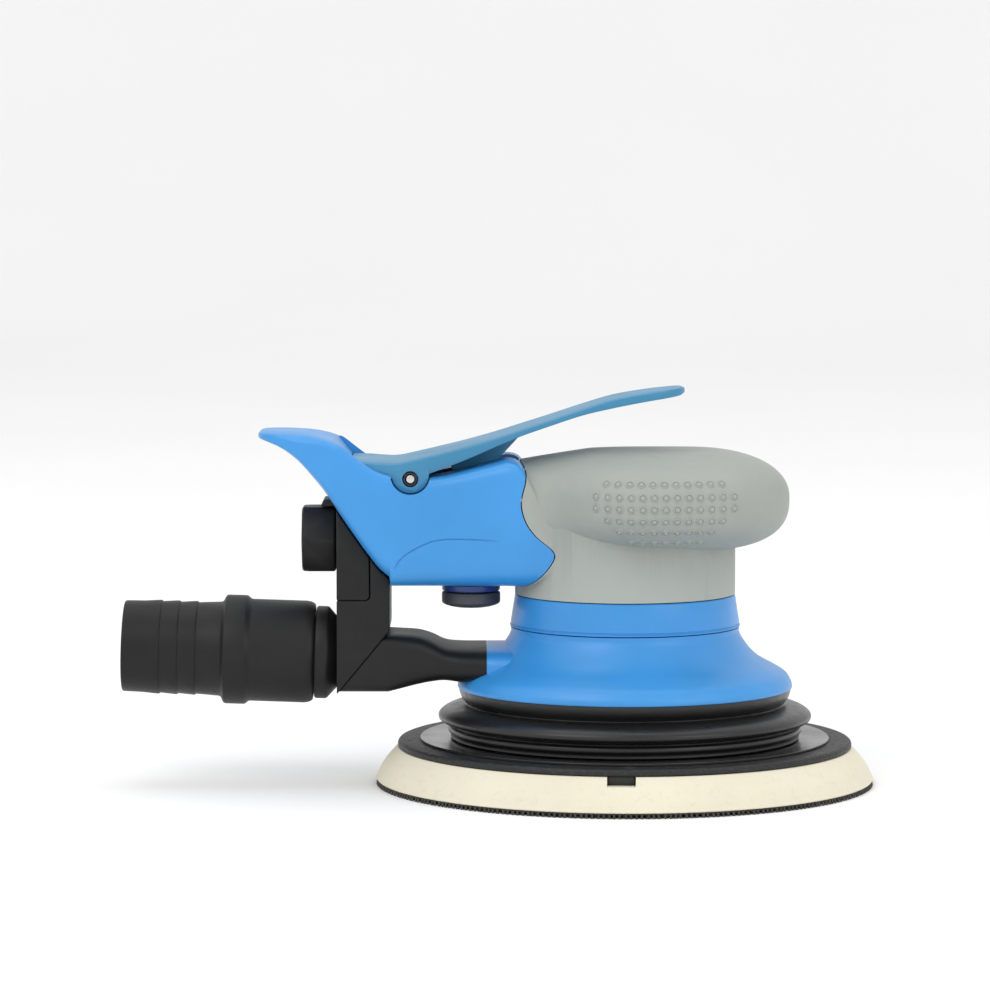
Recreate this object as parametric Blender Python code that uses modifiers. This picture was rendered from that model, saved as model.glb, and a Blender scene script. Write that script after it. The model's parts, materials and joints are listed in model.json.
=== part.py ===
"""Air-driven random-orbital palm sander with a 150 mm hook pad and its own dust extraction.

Frame: the motor's axis is the Z axis, the handle points along -X, and z = 0 is the pad's hook face.
Sizes are written in millimetres and turned into metres when a mesh is made.
"""

import bmesh
import bpy
from math import copysign, cos, pi, radians, sin
from mathutils import Matrix, Vector

MM = 0.001
GAP = 0.3  # between two pieces that seat on each other
RUNNING_GAP = 0.4  # between two pieces that move past each other
LARGE = 200.0  # reach of a cutter that goes right through

# Round pieces are turned with these numbers of sides.
FINE, ROUND, MEDIUM, SMALL = 32, 24, 20, 12

# --- Pad, from the hook face up ---
PAD_RADIUS = 75.0
HOOK_THICKNESS = 1.6
PLATE_BOTTOM = 11.3
PLATE_THICKNESS = 2.0
PLATE_RADIUS = 68.4
FOAM_BULGE = 0.9
PAD_RING_RADII = (49.0, 61.6)
PAD_RING_HEIGHT = 0.5
DUST_HOLE_COUNT = 6
DUST_HOLE_CIRCLE = 40.0
DUST_HOLE_RADIUS = 5.0
NOTCH_COUNT = 3
NOTCH_WIDTH = 8.3
NOTCH_HEIGHT = 2.4
NOTCH_DEPTH = 4.0
NOTCH_START = -92.3

# --- Orbit drive: the pad's axis stands this far from the motor's ---
ECCENTRICITY = 2.5
HUB_RADIUS = 14.0
HUB_THICKNESS = 2.6
HUB_STUD_RADIUS = 3.0
HUB_STUD_LENGTH = 11.0
HUB_RIVET_COUNT = 3
HUB_RIVET_CIRCLE = 11.3
HUB_RIVET_RADIUS = 1.3
SPINDLE_FLATS_RADIUS = 9.0
SPINDLE_FLATS_HEIGHT = 2.8
SPINDLE_RADIUS = 5.0
SPINDLE_BEARING = {"bore": 5.3, "outer": 13.0, "width": 8.0}
CRANK_BARREL_WALL = 2.8
CRANK_WEB = 5.2
COUNTERWEIGHT_RADIUS = 25.0
COUNTERWEIGHT_HEIGHT = 14.0
CIRCLIP_THICKNESS = 1.0

# --- Air motor ---
SHAFT_RADIUS = 6.0
ROTOR_BEARING = {"bore": 6.3, "outer": 14.0, "width": 8.0}
MOTOR_RADIUS = 25.9
MOTOR_BOTTOM = 50.3
END_PLATE_THICKNESS = 9.4
CYLINDER_HEIGHT = 17.4
CYLINDER_BORE = 19.8
CYLINDER_OFFSET = 1.5
ROTOR_RADIUS = 17.9
VANE_COUNT = 5
VANE_THICKNESS = 1.8
VANE_DEPTH = 7.4
KEY_WIDTH = 2.0
DOWEL_RADIUS = 1.2
DOWEL_CIRCLE = 22.9

# --- Motor case, collar and shroud ---
CASE_BOTTOM = 48.1
CASE_RADIUS = 29.7
CASE_TOP = 96.5
CASE_CHAMFER = 5.5
NECK_RADIUS = 33.1
COLLAR_BOTTOM, COLLAR_TOP = 48.1, 57.6
COLLAR_BOTTOM_RADIUS, COLLAR_TOP_RADIUS = 34.8, 33.1
NECK_TOP = 80.0
SHROUD_BOTTOM = 29.5
SHROUD_RADIUS = 50.4
SHROUD_WALL = 2.0
BOOT_WALL = 1.6
BOOT_LIP = 1.2

# --- Head and handle: (x, top, bottom, half-width) along the tool, tip first ---
HANDLE_BOTTOM = 61.0
HANDLE_WIDTH = 45.0
HANDLE_STATIONS = [
    (-109.8, 106.2, 105.1, 0.28),
    (-108.9, 106.8, 104.6, 0.46),
    (-106.3, 107.0, 103.7, 0.60),
    (-102.3, 107.0, 101.9, 0.70),
    (-97.7, 106.8, 98.5, 0.78),
    (-93.6, 106.2, 94.0, 0.84),
    (-89.8, 105.3, 89.4, 0.89),
    (-87.0, 104.4, 85.2, 0.91),
    (-85.2, 104.0, 82.4, 0.92),
    (-81.4, 101.1, 76.8, 0.93),
    (-79.3, 99.5, 73.8, 0.935),
    (-76.4, 97.5, 69.8, 0.94),
    (-73.6, 96.1, 66.3, 0.945),
    (-70.6, 95.1, 63.7, 0.95),
    (-70.1, 95.0, HANDLE_BOTTOM, 0.95),
    (-64.0, 94.2, HANDLE_BOTTOM, 0.955),
    (-58.6, 94.0, HANDLE_BOTTOM, 0.96),
    (-51.0, 95.2, HANDLE_BOTTOM, 0.97),
    (-38.9, 98.2, HANDLE_BOTTOM, 1.0),
    (-34.6, 99.0, HANDLE_BOTTOM, 1.03),
    (-30.0, 95.8, HANDLE_BOTTOM, 1.06),
    (-20.0, 78.0, 63.0, 1.10),
]
HANDLE_SQUARENESS = 6.0
HANDLE_TOP_SQUARENESS = 10.0
HEAD_CENTRE_X = 5.0
HEAD_REACH = 49.2
HEAD_HALF_WIDTH = 45.0
HEAD_MIDDLE = 86.6
HEAD_BOTTOM = 71.3
HEAD_FLAT_END = 19.0
HEAD_TOP = [(-44.0, 95.0), (-31.4, 97.9), (-14.0, 100.5), (-6.0, 101.1), (HEAD_FLAT_END, 101.2)]
HEAD_LEFT = -40.0
HEAD_SQUARENESS = 2.5
SEAM = [
    (-34.6, LARGE), (-34.6, 99.6), (-32.6, 98.4), (-30.9, 97.0), (-30.1, 95.0), (-30.4, 92.0),
    (-31.2, 89.0), (-31.5, 85.9), (-30.8, 82.6), (-29.4, 79.6), (-27.1, 76.7), (-24.7, 74.7),
    (-22.6, 73.0), (-21.6, 71.2), (-22.3, 69.1), (-24.1, 66.5), (-26.5, 64.0), (-28.9, 62.2),
    (-31.2, 61.1), (-33.6, 60.4), (-33.6, -10.0),
]
SEAM_GAP = 0.35

# --- Lever on its pivot ---
PIVOT_X, PIVOT_Z = -64.2, 93.4
EAR_RADIUS = 5.5
EAR_RISE = 1.4
EAR_TOP = 96.4
LEVER_PLATE = 2.2
LEVER_FLANGE = 2.1
LEVER_HALF_WIDTH = 18.4
LEVER_STATIONS = [
    (-81.9, 98.9, 96.6, 1.0),
    (-79.2, 98.9, 95.0, 1.0),
    (-76.4, 98.8, 94.1, 1.0),
    (-72.6, 98.5, 93.6, 1.0),
    (-68.0, 98.5, 93.6, 1.0),
    (-61.4, 99.9, 94.2, 0.99),
    (-52.2, 102.1, 97.4, 0.96),
    (-45.6, 103.8, 100.0, 0.94),
    (-38.7, 105.8, 103.0, 0.91),
    (-31.5, 108.1, 105.9, 0.87),
    (-22.8, 110.9, 108.9, 0.83),
    (-13.2, 114.1, 112.0, 0.78),
    (-3.6, 117.0, 114.2, 0.73),
    (6.0, 118.7, 116.0, 0.67),
    (12.0, 119.5, 116.9, 0.56),
    (16.0, 119.9, 117.6, 0.38),
    (17.6, 119.6, 118.4, 0.18),
]
PUSHER_HALF_WIDTH = 5.5
PUSHER = [(-52.4, 101.0), (-52.4, 96.4), (-50.4, PIVOT_Z), (-39.4, PIVOT_Z), (-38.4, 95.0)]
PUSHER_CROWN = [(-38.4, 98.2), (-32.1, 105.0), (-32.3, 106.2), (-36.0, 105.4)]
PIN_RADIUS = 1.4
PIN_BUSH_RADIUS = 2.1
BAY_FLOOR = 93.0
BAY = [
    (-58.6, LARGE), (-58.6, BAY_FLOOR), (-82.4, BAY_FLOOR), (-82.4, 98.7), (-89.7, 107.5), (-89.7, LARGE),
]
SLOT_FLOOR = 87.0
SLOT_HALF_WIDTH = 6.6
SLOT = [
    (-60.0, LARGE), (-60.0, SLOT_FLOOR), (-35.2, SLOT_FLOOR), (-35.2, 95.4), (-32.6, 95.4), (-32.6, LARGE),
]

# --- Throttle valve and speed regulator, on one upright axis under the lever ---
VALVE_X = -46.3
VALVE_BORE = 6.5
VALVE_SEAT_BOTTOM = 79.0
VALVE_SEAT_THICKNESS = 2.6
VALVE_SEAT_BORE = 3.4
VALVE_STEM = 1.8
VALVE_DISC = 4.7
VALVE_DISC_THICKNESS = 2.6
SPRING_WIRE = 0.5
SPRING_RADIUS = 4.0
SPRING_TURNS = 4
KNOB_RADIUS = 8.8
KNOB_BOTTOM = 53.3
KNOB_CAP_TOP = 58.2
KNOB_RING_TOP = 60.6
KNOB_STEM_TOP = 66.2

# --- Air inlet ---
INLET_Z = 74.3
INLET_FLATS = 19.3
INLET_LEFT, INLET_RIGHT = -96.9, -86.7
INLET_BORE = 5.6
INLET_STEM_RADIUS = 7.8
INLET_STEM_END = -66.0
PASSAGE_RADIUS = 4.0

# --- Exhaust elbow, inlet block, vacuum duct and swivel cuff ---
BLOCK_LEFT, BLOCK_RIGHT = -86.3, -70.5
BLOCK_HALF_WIDTH = 15.0
TONGUE_LEFT, TONGUE_RIGHT = -91.2, -84.8
TONGUE_ROOT, TONGUE_BOTTOM, TONGUE_TOP = 80.6, 84.5, 86.3
TONGUE_HALF_WIDTH = 8.0
BLOCK_SPLIT_X, BLOCK_SPLIT_Z = -76.4, 56.9
DUCT_SEAM = [(-86.3, 28.7), (-70.5, 47.8)]
DUCT_STATIONS = [
    (-90.0, 46.3, 29.0, 15.0, 7.0),
    (-71.0, 46.3, 29.0, 15.0, 7.0),
    (-67.0, 46.2, 29.9, 15.2, 5.5),
    (-62.0, 45.9, 31.1, 15.8, 4.5),
    (-58.0, 44.7, 31.9, 16.8, 4.0),
    (-54.0, 42.9, 32.3, 18.0, 3.5),
    (-49.0, 42.4, 31.7, 19.2, 3.2),
    (-41.6, 42.4, 31.2, 20.0, 3.0),
]
DUCT_WALL = 2.2
NIPPLE_WALL = 1.3
MUFFLER_TOP, MUFFLER_BOTTOM = 61.5, 50.5
EXHAUST_SLOT = (-75.6, -71.9)
EXHAUST_SLOT_HALF_WIDTH = 12.8
EXHAUST_Y, EXHAUST_Z, EXHAUST_RADIUS = 10.6, 66.0, 2.6
HOSE_Z = 39.6
HOSE_TILT = radians(1.9)
HOSE_BORE = 9.6
HOSE_ROOT_RADIUS = 10.3
HOSE_SPIGOT_RADIUS = 12.2
HOSE_SPIGOT_LENGTH = 24.0
HOSE_NECK_RADIUS = 13.9
CUFF_START, CUFF_END = 7.2, 64.6
CUFF_RADIUS = 15.35
CUFF_COLLAR_RADIUS = 16.4
CUFF_TIP_RADIUS = 13.7
CUFF_BARB_RADIUS = 14.3
CUFF_BORE = 11.6

FITTINGS_BLUE = (0.10, 0.36, 0.78)
LEVER_BLUE = (0.10, 0.30, 0.58)
GRIP_GREY = (0.40, 0.42, 0.39)
BLACK_PLASTIC = (0.02, 0.02, 0.022)
RUBBER_BLACK = (0.012, 0.012, 0.013)
CREAM = (0.86, 0.82, 0.68)
STEEL = (0.62, 0.62, 0.64)
DARK_STEEL = (0.25, 0.25, 0.27)
BRASS = (0.75, 0.55, 0.25)
NAVY = (0.03, 0.07, 0.20)
FELT = (0.72, 0.71, 0.66)

PARTS = "orbital_sander"
CUTTERS = "cutters"


# ------------------------------------------------------------------ helpers

def clear_scene():
    for obj in list(bpy.data.objects):
        bpy.data.objects.remove(obj, do_unlink=True)
    for name in (PARTS, CUTTERS):
        bpy.context.scene.collection.children.link(bpy.data.collections.new(name))


def material(name, colour, roughness, metallic=0.0):
    mat = bpy.data.materials.get(name) or bpy.data.materials.new(name)
    mat.use_nodes = True
    shader = mat.node_tree.nodes["Principled BSDF"]
    shader.inputs["Base Color"].default_value = (*colour, 1.0)
    shader.inputs["Roughness"].default_value = roughness
    shader.inputs["Metallic"].default_value = metallic
    mat.diffuse_color = (*colour, 1.0)
    return mat


def axis_empty(name, location, rotation=(0.0, 0.0, 0.0)):
    """An empty on a joint's axis, which carries the pieces that move about it."""
    empty = bpy.data.objects.new(name, None)
    empty.location = Vector(location) * MM
    empty.rotation_euler = rotation
    bpy.data.collections[PARTS].objects.link(empty)
    return empty


def matrix_of(obj):
    return Matrix.Translation(obj.location) @ obj.rotation_euler.to_matrix().to_4x4()


def place(name, mesh, location=(0.0, 0.0, 0.0), rotation=(0.0, 0.0, 0.0), cutter=False):
    """An object of this mesh, with its place in millimetres."""
    obj = bpy.data.objects.new(name, mesh)
    bpy.data.collections[CUTTERS if cutter else PARTS].objects.link(obj)
    obj.location = Vector(location) * MM
    obj.rotation_euler = rotation
    if cutter:
        obj.hide_render = True
        obj.display_type = "WIRE"
    return obj


def finish(obj, mat, carrier=None):
    """Gives a piece its material, smooth shading and, if it moves, the empty it moves with."""
    obj.data.materials.clear()
    obj.data.materials.append(mat)
    obj.data.shade_smooth()
    obj.data.set_sharp_from_angle(angle=radians(35))
    if carrier:
        obj.parent = carrier
        obj.matrix_parent_inverse = matrix_of(carrier).inverted()
    return obj


def mesh_from(name, build):
    """A mesh in metres from a function that fills a BMesh in millimetres."""
    bm = bmesh.new()
    build(bm)
    bmesh.ops.recalc_face_normals(bm, faces=bm.faces)
    bmesh.ops.scale(bm, vec=(MM, MM, MM), verts=bm.verts)
    mesh = bpy.data.meshes.new(name)
    bm.to_mesh(mesh)
    bm.free()
    return mesh


def turned(name, profile, steps, location=(0.0, 0.0, 0.0), rotation=(0.0, 0.0, 0.0), cutter=False):
    """A solid of revolution about its own Z axis, from a closed (radius, height) outline."""
    area = sum(
        r0 * z1 - r1 * z0 for (r0, z0), (r1, z1) in zip(profile, profile[1:] + profile[:1])
    )
    points = profile[::-1] if area > 0 else list(profile)
    on_axis = [index for index, (r, _) in enumerate(points) if r == 0.0]
    edges = len(points)
    if on_axis:
        # The stretch along the axis is left out, because the axis closes the solid.
        start = next(i for i in on_axis if points[i - 1][0] == 0.0)
        points = points[start:] + points[:start]
        edges -= 1
    mesh = bpy.data.meshes.new(name)
    mesh.from_pydata(
        [(r * MM, 0.0, z * MM) for r, z in points],
        [(i, (i + 1) % len(points)) for i in range(edges)],
        [],
    )
    obj = place(name, mesh, location, rotation, cutter)
    screw = obj.modifiers.new("turn", "SCREW")
    screw.steps = screw.render_steps = steps
    screw.use_merge_vertices = True
    screw.merge_threshold = 0.00001
    screw.use_smooth_shade = True
    return obj


def ring(name, inner, outer, bottom, top, steps, **where):
    """A plain ring, or a disc where the inner radius is 0."""
    profile = [(outer, top), (outer, bottom), (inner, bottom), (inner, top)]
    return turned(name, profile, steps, **where)


def rod(name, radius, start, end, steps=SMALL, cutter=False, end_radius=None):
    """A cylinder or a cone between two points."""
    start, end = Vector(start), Vector(end)
    length = (end - start).length
    turn = (end - start).to_track_quat("Z", "Y").to_matrix().to_4x4()
    place_it = Matrix.Translation((start + end) / 2) @ turn

    def build(bm):
        bmesh.ops.create_cone(
            bm, cap_ends=True, segments=steps, radius1=radius,
            radius2=radius if end_radius is None else end_radius, depth=length, matrix=place_it,
        )

    return place(name, mesh_from(name, build), cutter=cutter)


def block(name, low, high, cutter=False):
    low, high = Vector(low), Vector(high)
    where = Matrix.Translation((low + high) / 2) @ Matrix.Diagonal((*(high - low), 1.0))
    return place(
        name, mesh_from(name, lambda bm: bmesh.ops.create_cube(bm, size=1.0, matrix=where)),
        cutter=cutter,
    )


def plate(name, outline, low, high, upright=True, cutter=False):
    """A flat outline with thickness: in X and Z, thick along Y, or in X and Y, thick along Z."""
    curve = bpy.data.curves.new(name, "CURVE")
    curve.dimensions = "2D"
    curve.fill_mode = "BOTH"
    curve.extrude = (high - low) / 2 * MM
    spline = curve.splines.new("POLY")
    spline.points.add(len(outline) - 1)
    for point, (u, v) in zip(spline.points, outline):
        point.co = (u * MM, v * MM, 0.0, 1.0)
    spline.use_cyclic_u = True
    obj = bpy.data.objects.new(name, curve)
    middle = (low + high) / 2 * MM
    turn = Matrix.Rotation(pi / 2, 4, "X") if upright else Matrix.Identity(4)
    shift = Vector((0.0, middle, 0.0)) if upright else Vector((0.0, 0.0, middle))
    bpy.data.collections[CUTTERS].objects.link(obj)
    graph = bpy.context.evaluated_depsgraph_get()
    mesh = bpy.data.meshes.new_from_object(obj.evaluated_get(graph))
    bpy.data.objects.remove(obj, do_unlink=True)
    mesh.transform(Matrix.Translation(shift) @ turn)
    bm = bmesh.new()
    bm.from_mesh(mesh)
    bmesh.ops.remove_doubles(bm, verts=bm.verts, dist=0.00001)
    bmesh.ops.recalc_face_normals(bm, faces=bm.faces)
    bm.to_mesh(mesh)
    bm.free()
    mesh.name = name
    return place(name, mesh, cutter=cutter)


def loft(name, sections, cutter=False):
    """A closed skin over sections of equal point count, with flat ends."""

    def build(bm):
        rings = [[bm.verts.new(point) for point in section] for section in sections]
        count = len(rings[0])
        for here, beyond in zip(rings, rings[1:]):
            for i in range(count):
                j = (i + 1) % count
                bm.faces.new((here[i], here[j], beyond[j], beyond[i]))
        bm.faces.new(rings[0])
        bm.faces.new(rings[-1])

    return place(name, mesh_from(name, build), cutter=cutter)


def section(x, top, bottom, half_width, squareness, points=20, middle=None, upper=None):
    """A rounded cross-section at x: an ellipse that grows squarer with squareness.

    The upper half can have a squareness of its own.
    """
    middle = (top + bottom) / 2 if middle is None else middle
    found = []
    for i in range(points):
        angle = 2 * pi * (i + 0.5) / points
        c, s = cos(angle), sin(angle)
        power = 2 / (upper if upper and s > 0 else squareness)
        height = top - middle if s > 0 else middle - bottom
        found.append((
            x, copysign(half_width * abs(c) ** power, c), middle + copysign(height * abs(s) ** power, s),
        ))
    return found


def follow(points, x):
    """The value at x of a line through the points."""
    for (x0, v0), (x1, v1) in zip(points, points[1:]):
        if x <= x1:
            return v0 + (v1 - v0) * max(0.0, (x - x0) / (x1 - x0))
    return points[-1][1]


def superellipse(share, power):
    return max(0.0, 1.0 - abs(share) ** power) ** (1.0 / power)


def boolean(obj, other, operation):
    modifier = obj.modifiers.new(f"{operation.lower()}_{other.name}"[:60], "BOOLEAN")
    modifier.operation = operation
    modifier.solver = "EXACT"
    modifier.object = other


def cut(obj, *others):
    for other in others:
        boolean(obj, other, "DIFFERENCE")


def join(obj, *others):
    for other in others:
        boolean(obj, other, "UNION")


def rounded(obj, width, segments=2, angle=30):
    bevel = obj.modifiers.new("round", "BEVEL")
    bevel.width = width * MM
    bevel.segments = segments
    bevel.limit_method = "ANGLE"
    bevel.angle_limit = radians(angle)
    return obj


def on_circle(count, radius, start=0.0, centre=(0.0, 0.0)):
    for i in range(count):
        angle = start + 2 * pi * i / count
        yield i, angle, centre[0] + radius * cos(angle), centre[1] + radius * sin(angle)


# ------------------------------------------------------------------ shared shapes

def handle_sections():
    half = HANDLE_WIDTH / 2
    return [
        section(x, top, bottom, half * share, HANDLE_SQUARENESS, points=24, upper=HANDLE_TOP_SQUARENESS)
        for x, top, bottom, share in HANDLE_STATIONS
    ]


def head_station(x):
    """(top, bottom, half-width) of the head at x."""
    top = follow(HEAD_TOP, x)
    bottom = HEAD_BOTTOM
    if x > HEAD_FLAT_END:
        share = (x - HEAD_FLAT_END) / (HEAD_REACH - HEAD_FLAT_END)
        top = HEAD_MIDDLE + (top - HEAD_MIDDLE) * superellipse(share, 2.3)
        bottom = HEAD_MIDDLE - (HEAD_MIDDLE - HEAD_BOTTOM) * superellipse(share, 2.6)
    if x > HEAD_CENTRE_X:
        share = (x - HEAD_CENTRE_X) / (HEAD_REACH - HEAD_CENTRE_X)
        return top, bottom, HEAD_HALF_WIDTH * superellipse(share, 2.2)
    share = min(1.0, (HEAD_CENTRE_X - x) / (HEAD_CENTRE_X + 34.0))
    narrow = HANDLE_WIDTH / 2 - 1.0
    return top, bottom, narrow + (HEAD_HALF_WIDTH - narrow) * (1 + cos(pi * share)) / 2


def head_sections():
    flat = [HEAD_LEFT, -36.0, -32.0, -28.0, -24.0, -19.0, -13.0, -6.0, 2.0, 10.0, HEAD_FLAT_END]
    reach = HEAD_REACH - HEAD_FLAT_END
    curved = [HEAD_FLAT_END + reach * sin(radians(angle)) for angle in (17, 33, 47, 59, 69, 77, 83.5, 88)]
    return [
        section(x, *head_station(x), HEAD_SQUARENESS, points=24, middle=HEAD_MIDDLE)
        for x in flat + curved
    ]


def seam_outline(shift):
    """Everything on the handle's side of the seam between housing and grip."""
    line = [(x + shift, z) for x, z in SEAM]
    return line + [(-LARGE, -10.0), (-LARGE, LARGE)]


def case_profile(grow):
    return [
        (0.0, CASE_TOP + grow), (CASE_RADIUS - CASE_CHAMFER, CASE_TOP + grow),
        (CASE_RADIUS + grow, CASE_TOP - CASE_CHAMFER), (CASE_RADIUS + grow, CASE_BOTTOM - grow * 10),
        (0.0, CASE_BOTTOM - grow * 10),
    ]


def shroud_outer(grow=0.0):
    """The flared side, from the collar down to the rim."""
    rim = SHROUD_RADIUS
    side = [
        (34.4, COLLAR_BOTTOM - GAP), (34.2, 46.6), (35.1, 44.6), (37.7, 41.0), (40.9, 38.2),
        (45.3, 35.8), (rim - 1.8, 33.7), (rim - 0.3, 31.3), (rim, SHROUD_BOTTOM),
    ]
    return [(r + grow, z + grow) for r, z in side]


# ------------------------------------------------------------------ housing, grip, lever

def make_housing(blue):
    """The blue handle and, inside the grip, the case that holds the motor."""
    housing = loft("housing", handle_sections())
    head = loft("cut_head_shape", head_sections(), cutter=True)
    neck = ring("cut_neck_shape", 0.0, NECK_RADIUS, COLLAR_TOP + GAP, NECK_TOP, FINE, cutter=True)
    near_side = plate("cut_seam_housing", seam_outline(0.0), -LARGE, LARGE, cutter=True)
    far_side = plate("cut_seam_grip", seam_outline(SEAM_GAP), -LARGE, LARGE, cutter=True)
    join(housing, head, neck)
    boolean(housing, near_side, "INTERSECT")
    join(housing, turned("cut_case", case_profile(0.0), ROUND, cutter=True))

    cavity_top = MOTOR_BOTTOM + 2 * END_PLATE_THICKNESS + CYLINDER_HEIGHT + 3.6
    cavity = ring("cut_cavity", 0.0, MOTOR_RADIUS + GAP, 0.0, cavity_top, ROUND, cutter=True)
    cut(housing, cavity)
    valve_bore = rod(
        "cut_valve_bore", VALVE_BORE, (VALVE_X, 0, HANDLE_BOTTOM - 5), (VALVE_X, 0, SLOT_FLOOR + 1),
        steps=MEDIUM, cutter=True,
    )
    slot = plate("cut_slot", SLOT, -SLOT_HALF_WIDTH, SLOT_HALF_WIDTH, cutter=True)
    bay_half = LEVER_HALF_WIDTH + RUNNING_GAP
    bay = plate("cut_bay", BAY, -bay_half, bay_half, cutter=True)
    inlet = rod(
        "cut_inlet", INLET_STEM_RADIUS + GAP, (-LARGE, 0, INLET_Z), (INLET_STEM_END + 2, 0, INLET_Z),
        steps=MEDIUM, cutter=True,
    )
    passage = rod(
        "cut_passage", PASSAGE_RADIUS, (INLET_STEM_END + 1, 0, INLET_Z), (VALVE_X, 0, INLET_Z),
        cutter=True,
    )
    feed = rod("cut_feed", 3.0, (VALVE_X, 0, 80.6), (-24.0, 0, 80.6), cutter=True)
    tongue_half = TONGUE_HALF_WIDTH + GAP
    notch = block(
        "cut_tongue", (TONGUE_LEFT - 1.0, -tongue_half, TONGUE_ROOT - GAP),
        (TONGUE_RIGHT + GAP, tongue_half, TONGUE_TOP + GAP), cutter=True,
    )
    cut(housing, valve_bore, slot, bay, inlet, passage, feed, notch)
    for side in (-1, 1):
        name = "front" if side < 0 else "rear"
        inside, outside = side * (LEVER_HALF_WIDTH - LEVER_FLANGE - RUNNING_GAP), side * 30.0
        pocket = rod(
            f"cut_ear_{name}", EAR_RADIUS + RUNNING_GAP,
            (PIVOT_X, inside, PIVOT_Z + EAR_RISE), (PIVOT_X, outside, PIVOT_Z + EAR_RISE),
            steps=MEDIUM, cutter=True,
        )
        exhaust = rod(
            f"cut_exhaust_{name}", EXHAUST_RADIUS, (-20.0, side * EXHAUST_Y, EXHAUST_Z),
            (-80.0, side * EXHAUST_Y, EXHAUST_Z), steps=12, cutter=True,
        )
        cut(housing, pocket, exhaust)
    pin = rod("cut_pin", PIN_RADIUS + GAP, (PIVOT_X, -30, PIVOT_Z), (PIVOT_X, 30, PIVOT_Z), cutter=True)
    cut(housing, pin)
    finish(housing, blue)
    return head, neck, far_side


def make_grip(head, neck, far_side, grey):
    """The rubber grip over the head and the neck."""
    grip = loft("grip_cover", handle_sections())
    join(grip, head, neck)
    cut(grip, far_side, turned("cut_case_grip", case_profile(GAP), ROUND, cutter=True))
    return finish(grip, grey)


def make_lever(blue, axis):
    """The throttle lever: a channel with two ears at the pivot and a pusher over the valve."""
    def sections(inset, drop, reach_down):
        found = []
        for x, top, bottom, share in LEVER_STATIONS:
            half = max(LEVER_HALF_WIDTH * share - inset, 0.6)
            low = reach_down if reach_down else bottom
            crown = 0.9 * share
            found.append([
                (x, -half, low), (x, half, low), (x, half, top - drop - crown),
                (x, half * 0.82, top - drop - crown * 0.3), (x, half * 0.4, top - drop),
                (x, -half * 0.4, top - drop), (x, -half * 0.82, top - drop - crown * 0.3),
                (x, -half, top - drop - crown),
            ])
        return found

    lever = loft("lever", sections(0.0, 0.0, None))
    channel = sections(LEVER_FLANGE, LEVER_PLATE, 80.0)
    front, back = channel[0], channel[-4]
    channel = [[(x - 5.0, y, z) for x, y, z in front]] + channel[1:-4] + [back]
    cut(lever, loft("cut_channel", channel, cutter=True))
    ear = [(PIVOT_X + EAR_RADIUS, EAR_TOP), (PIVOT_X - EAR_RADIUS, EAR_TOP)]
    for i in range(13):
        angle = pi + pi * i / 12
        ear.append((PIVOT_X + EAR_RADIUS * cos(angle), PIVOT_Z + EAR_RISE + EAR_RADIUS * sin(angle)))
    for side in (-1, 1):
        name = "front" if side < 0 else "rear"
        low, high = sorted((side * LEVER_HALF_WIDTH, side * (LEVER_HALF_WIDTH - LEVER_FLANGE)))
        join(lever, plate(f"cut_lever_ear_{name}", ear, low, high, cutter=True))
    pusher = plate(
        "cut_pusher", PUSHER + PUSHER_CROWN, -PUSHER_HALF_WIDTH, PUSHER_HALF_WIDTH, cutter=True,
    )
    join(lever, pusher)
    cut(lever, rod(
        "cut_lever_pin", PIN_BUSH_RADIUS + GAP, (PIVOT_X, -30, PIVOT_Z), (PIVOT_X, 30, PIVOT_Z),
        cutter=True,
    ))
    return finish(lever, blue, axis)


def make_pivot_pin(steel, black, axis):
    """The steel pin through the housing, with a black bush in each of the lever's ears."""
    end = LEVER_HALF_WIDTH - 0.2
    finish(rod("lever_pin", PIN_RADIUS, (PIVOT_X, -end, PIVOT_Z), (PIVOT_X, end, PIVOT_Z)), steel)
    for side in (-1, 1):
        name = "lever_bush_front" if side < 0 else "lever_bush_rear"
        bush = ring(
            name, PIN_RADIUS + 0.15, PIN_BUSH_RADIUS, LEVER_HALF_WIDTH - LEVER_FLANGE + 0.1,
            LEVER_HALF_WIDTH - 0.1, SMALL, location=(PIVOT_X, 0, PIVOT_Z),
            rotation=(-side * pi / 2, 0, 0),
        )
        finish(bush, black, axis)


# ------------------------------------------------------------------ valve, regulator, inlet

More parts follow.
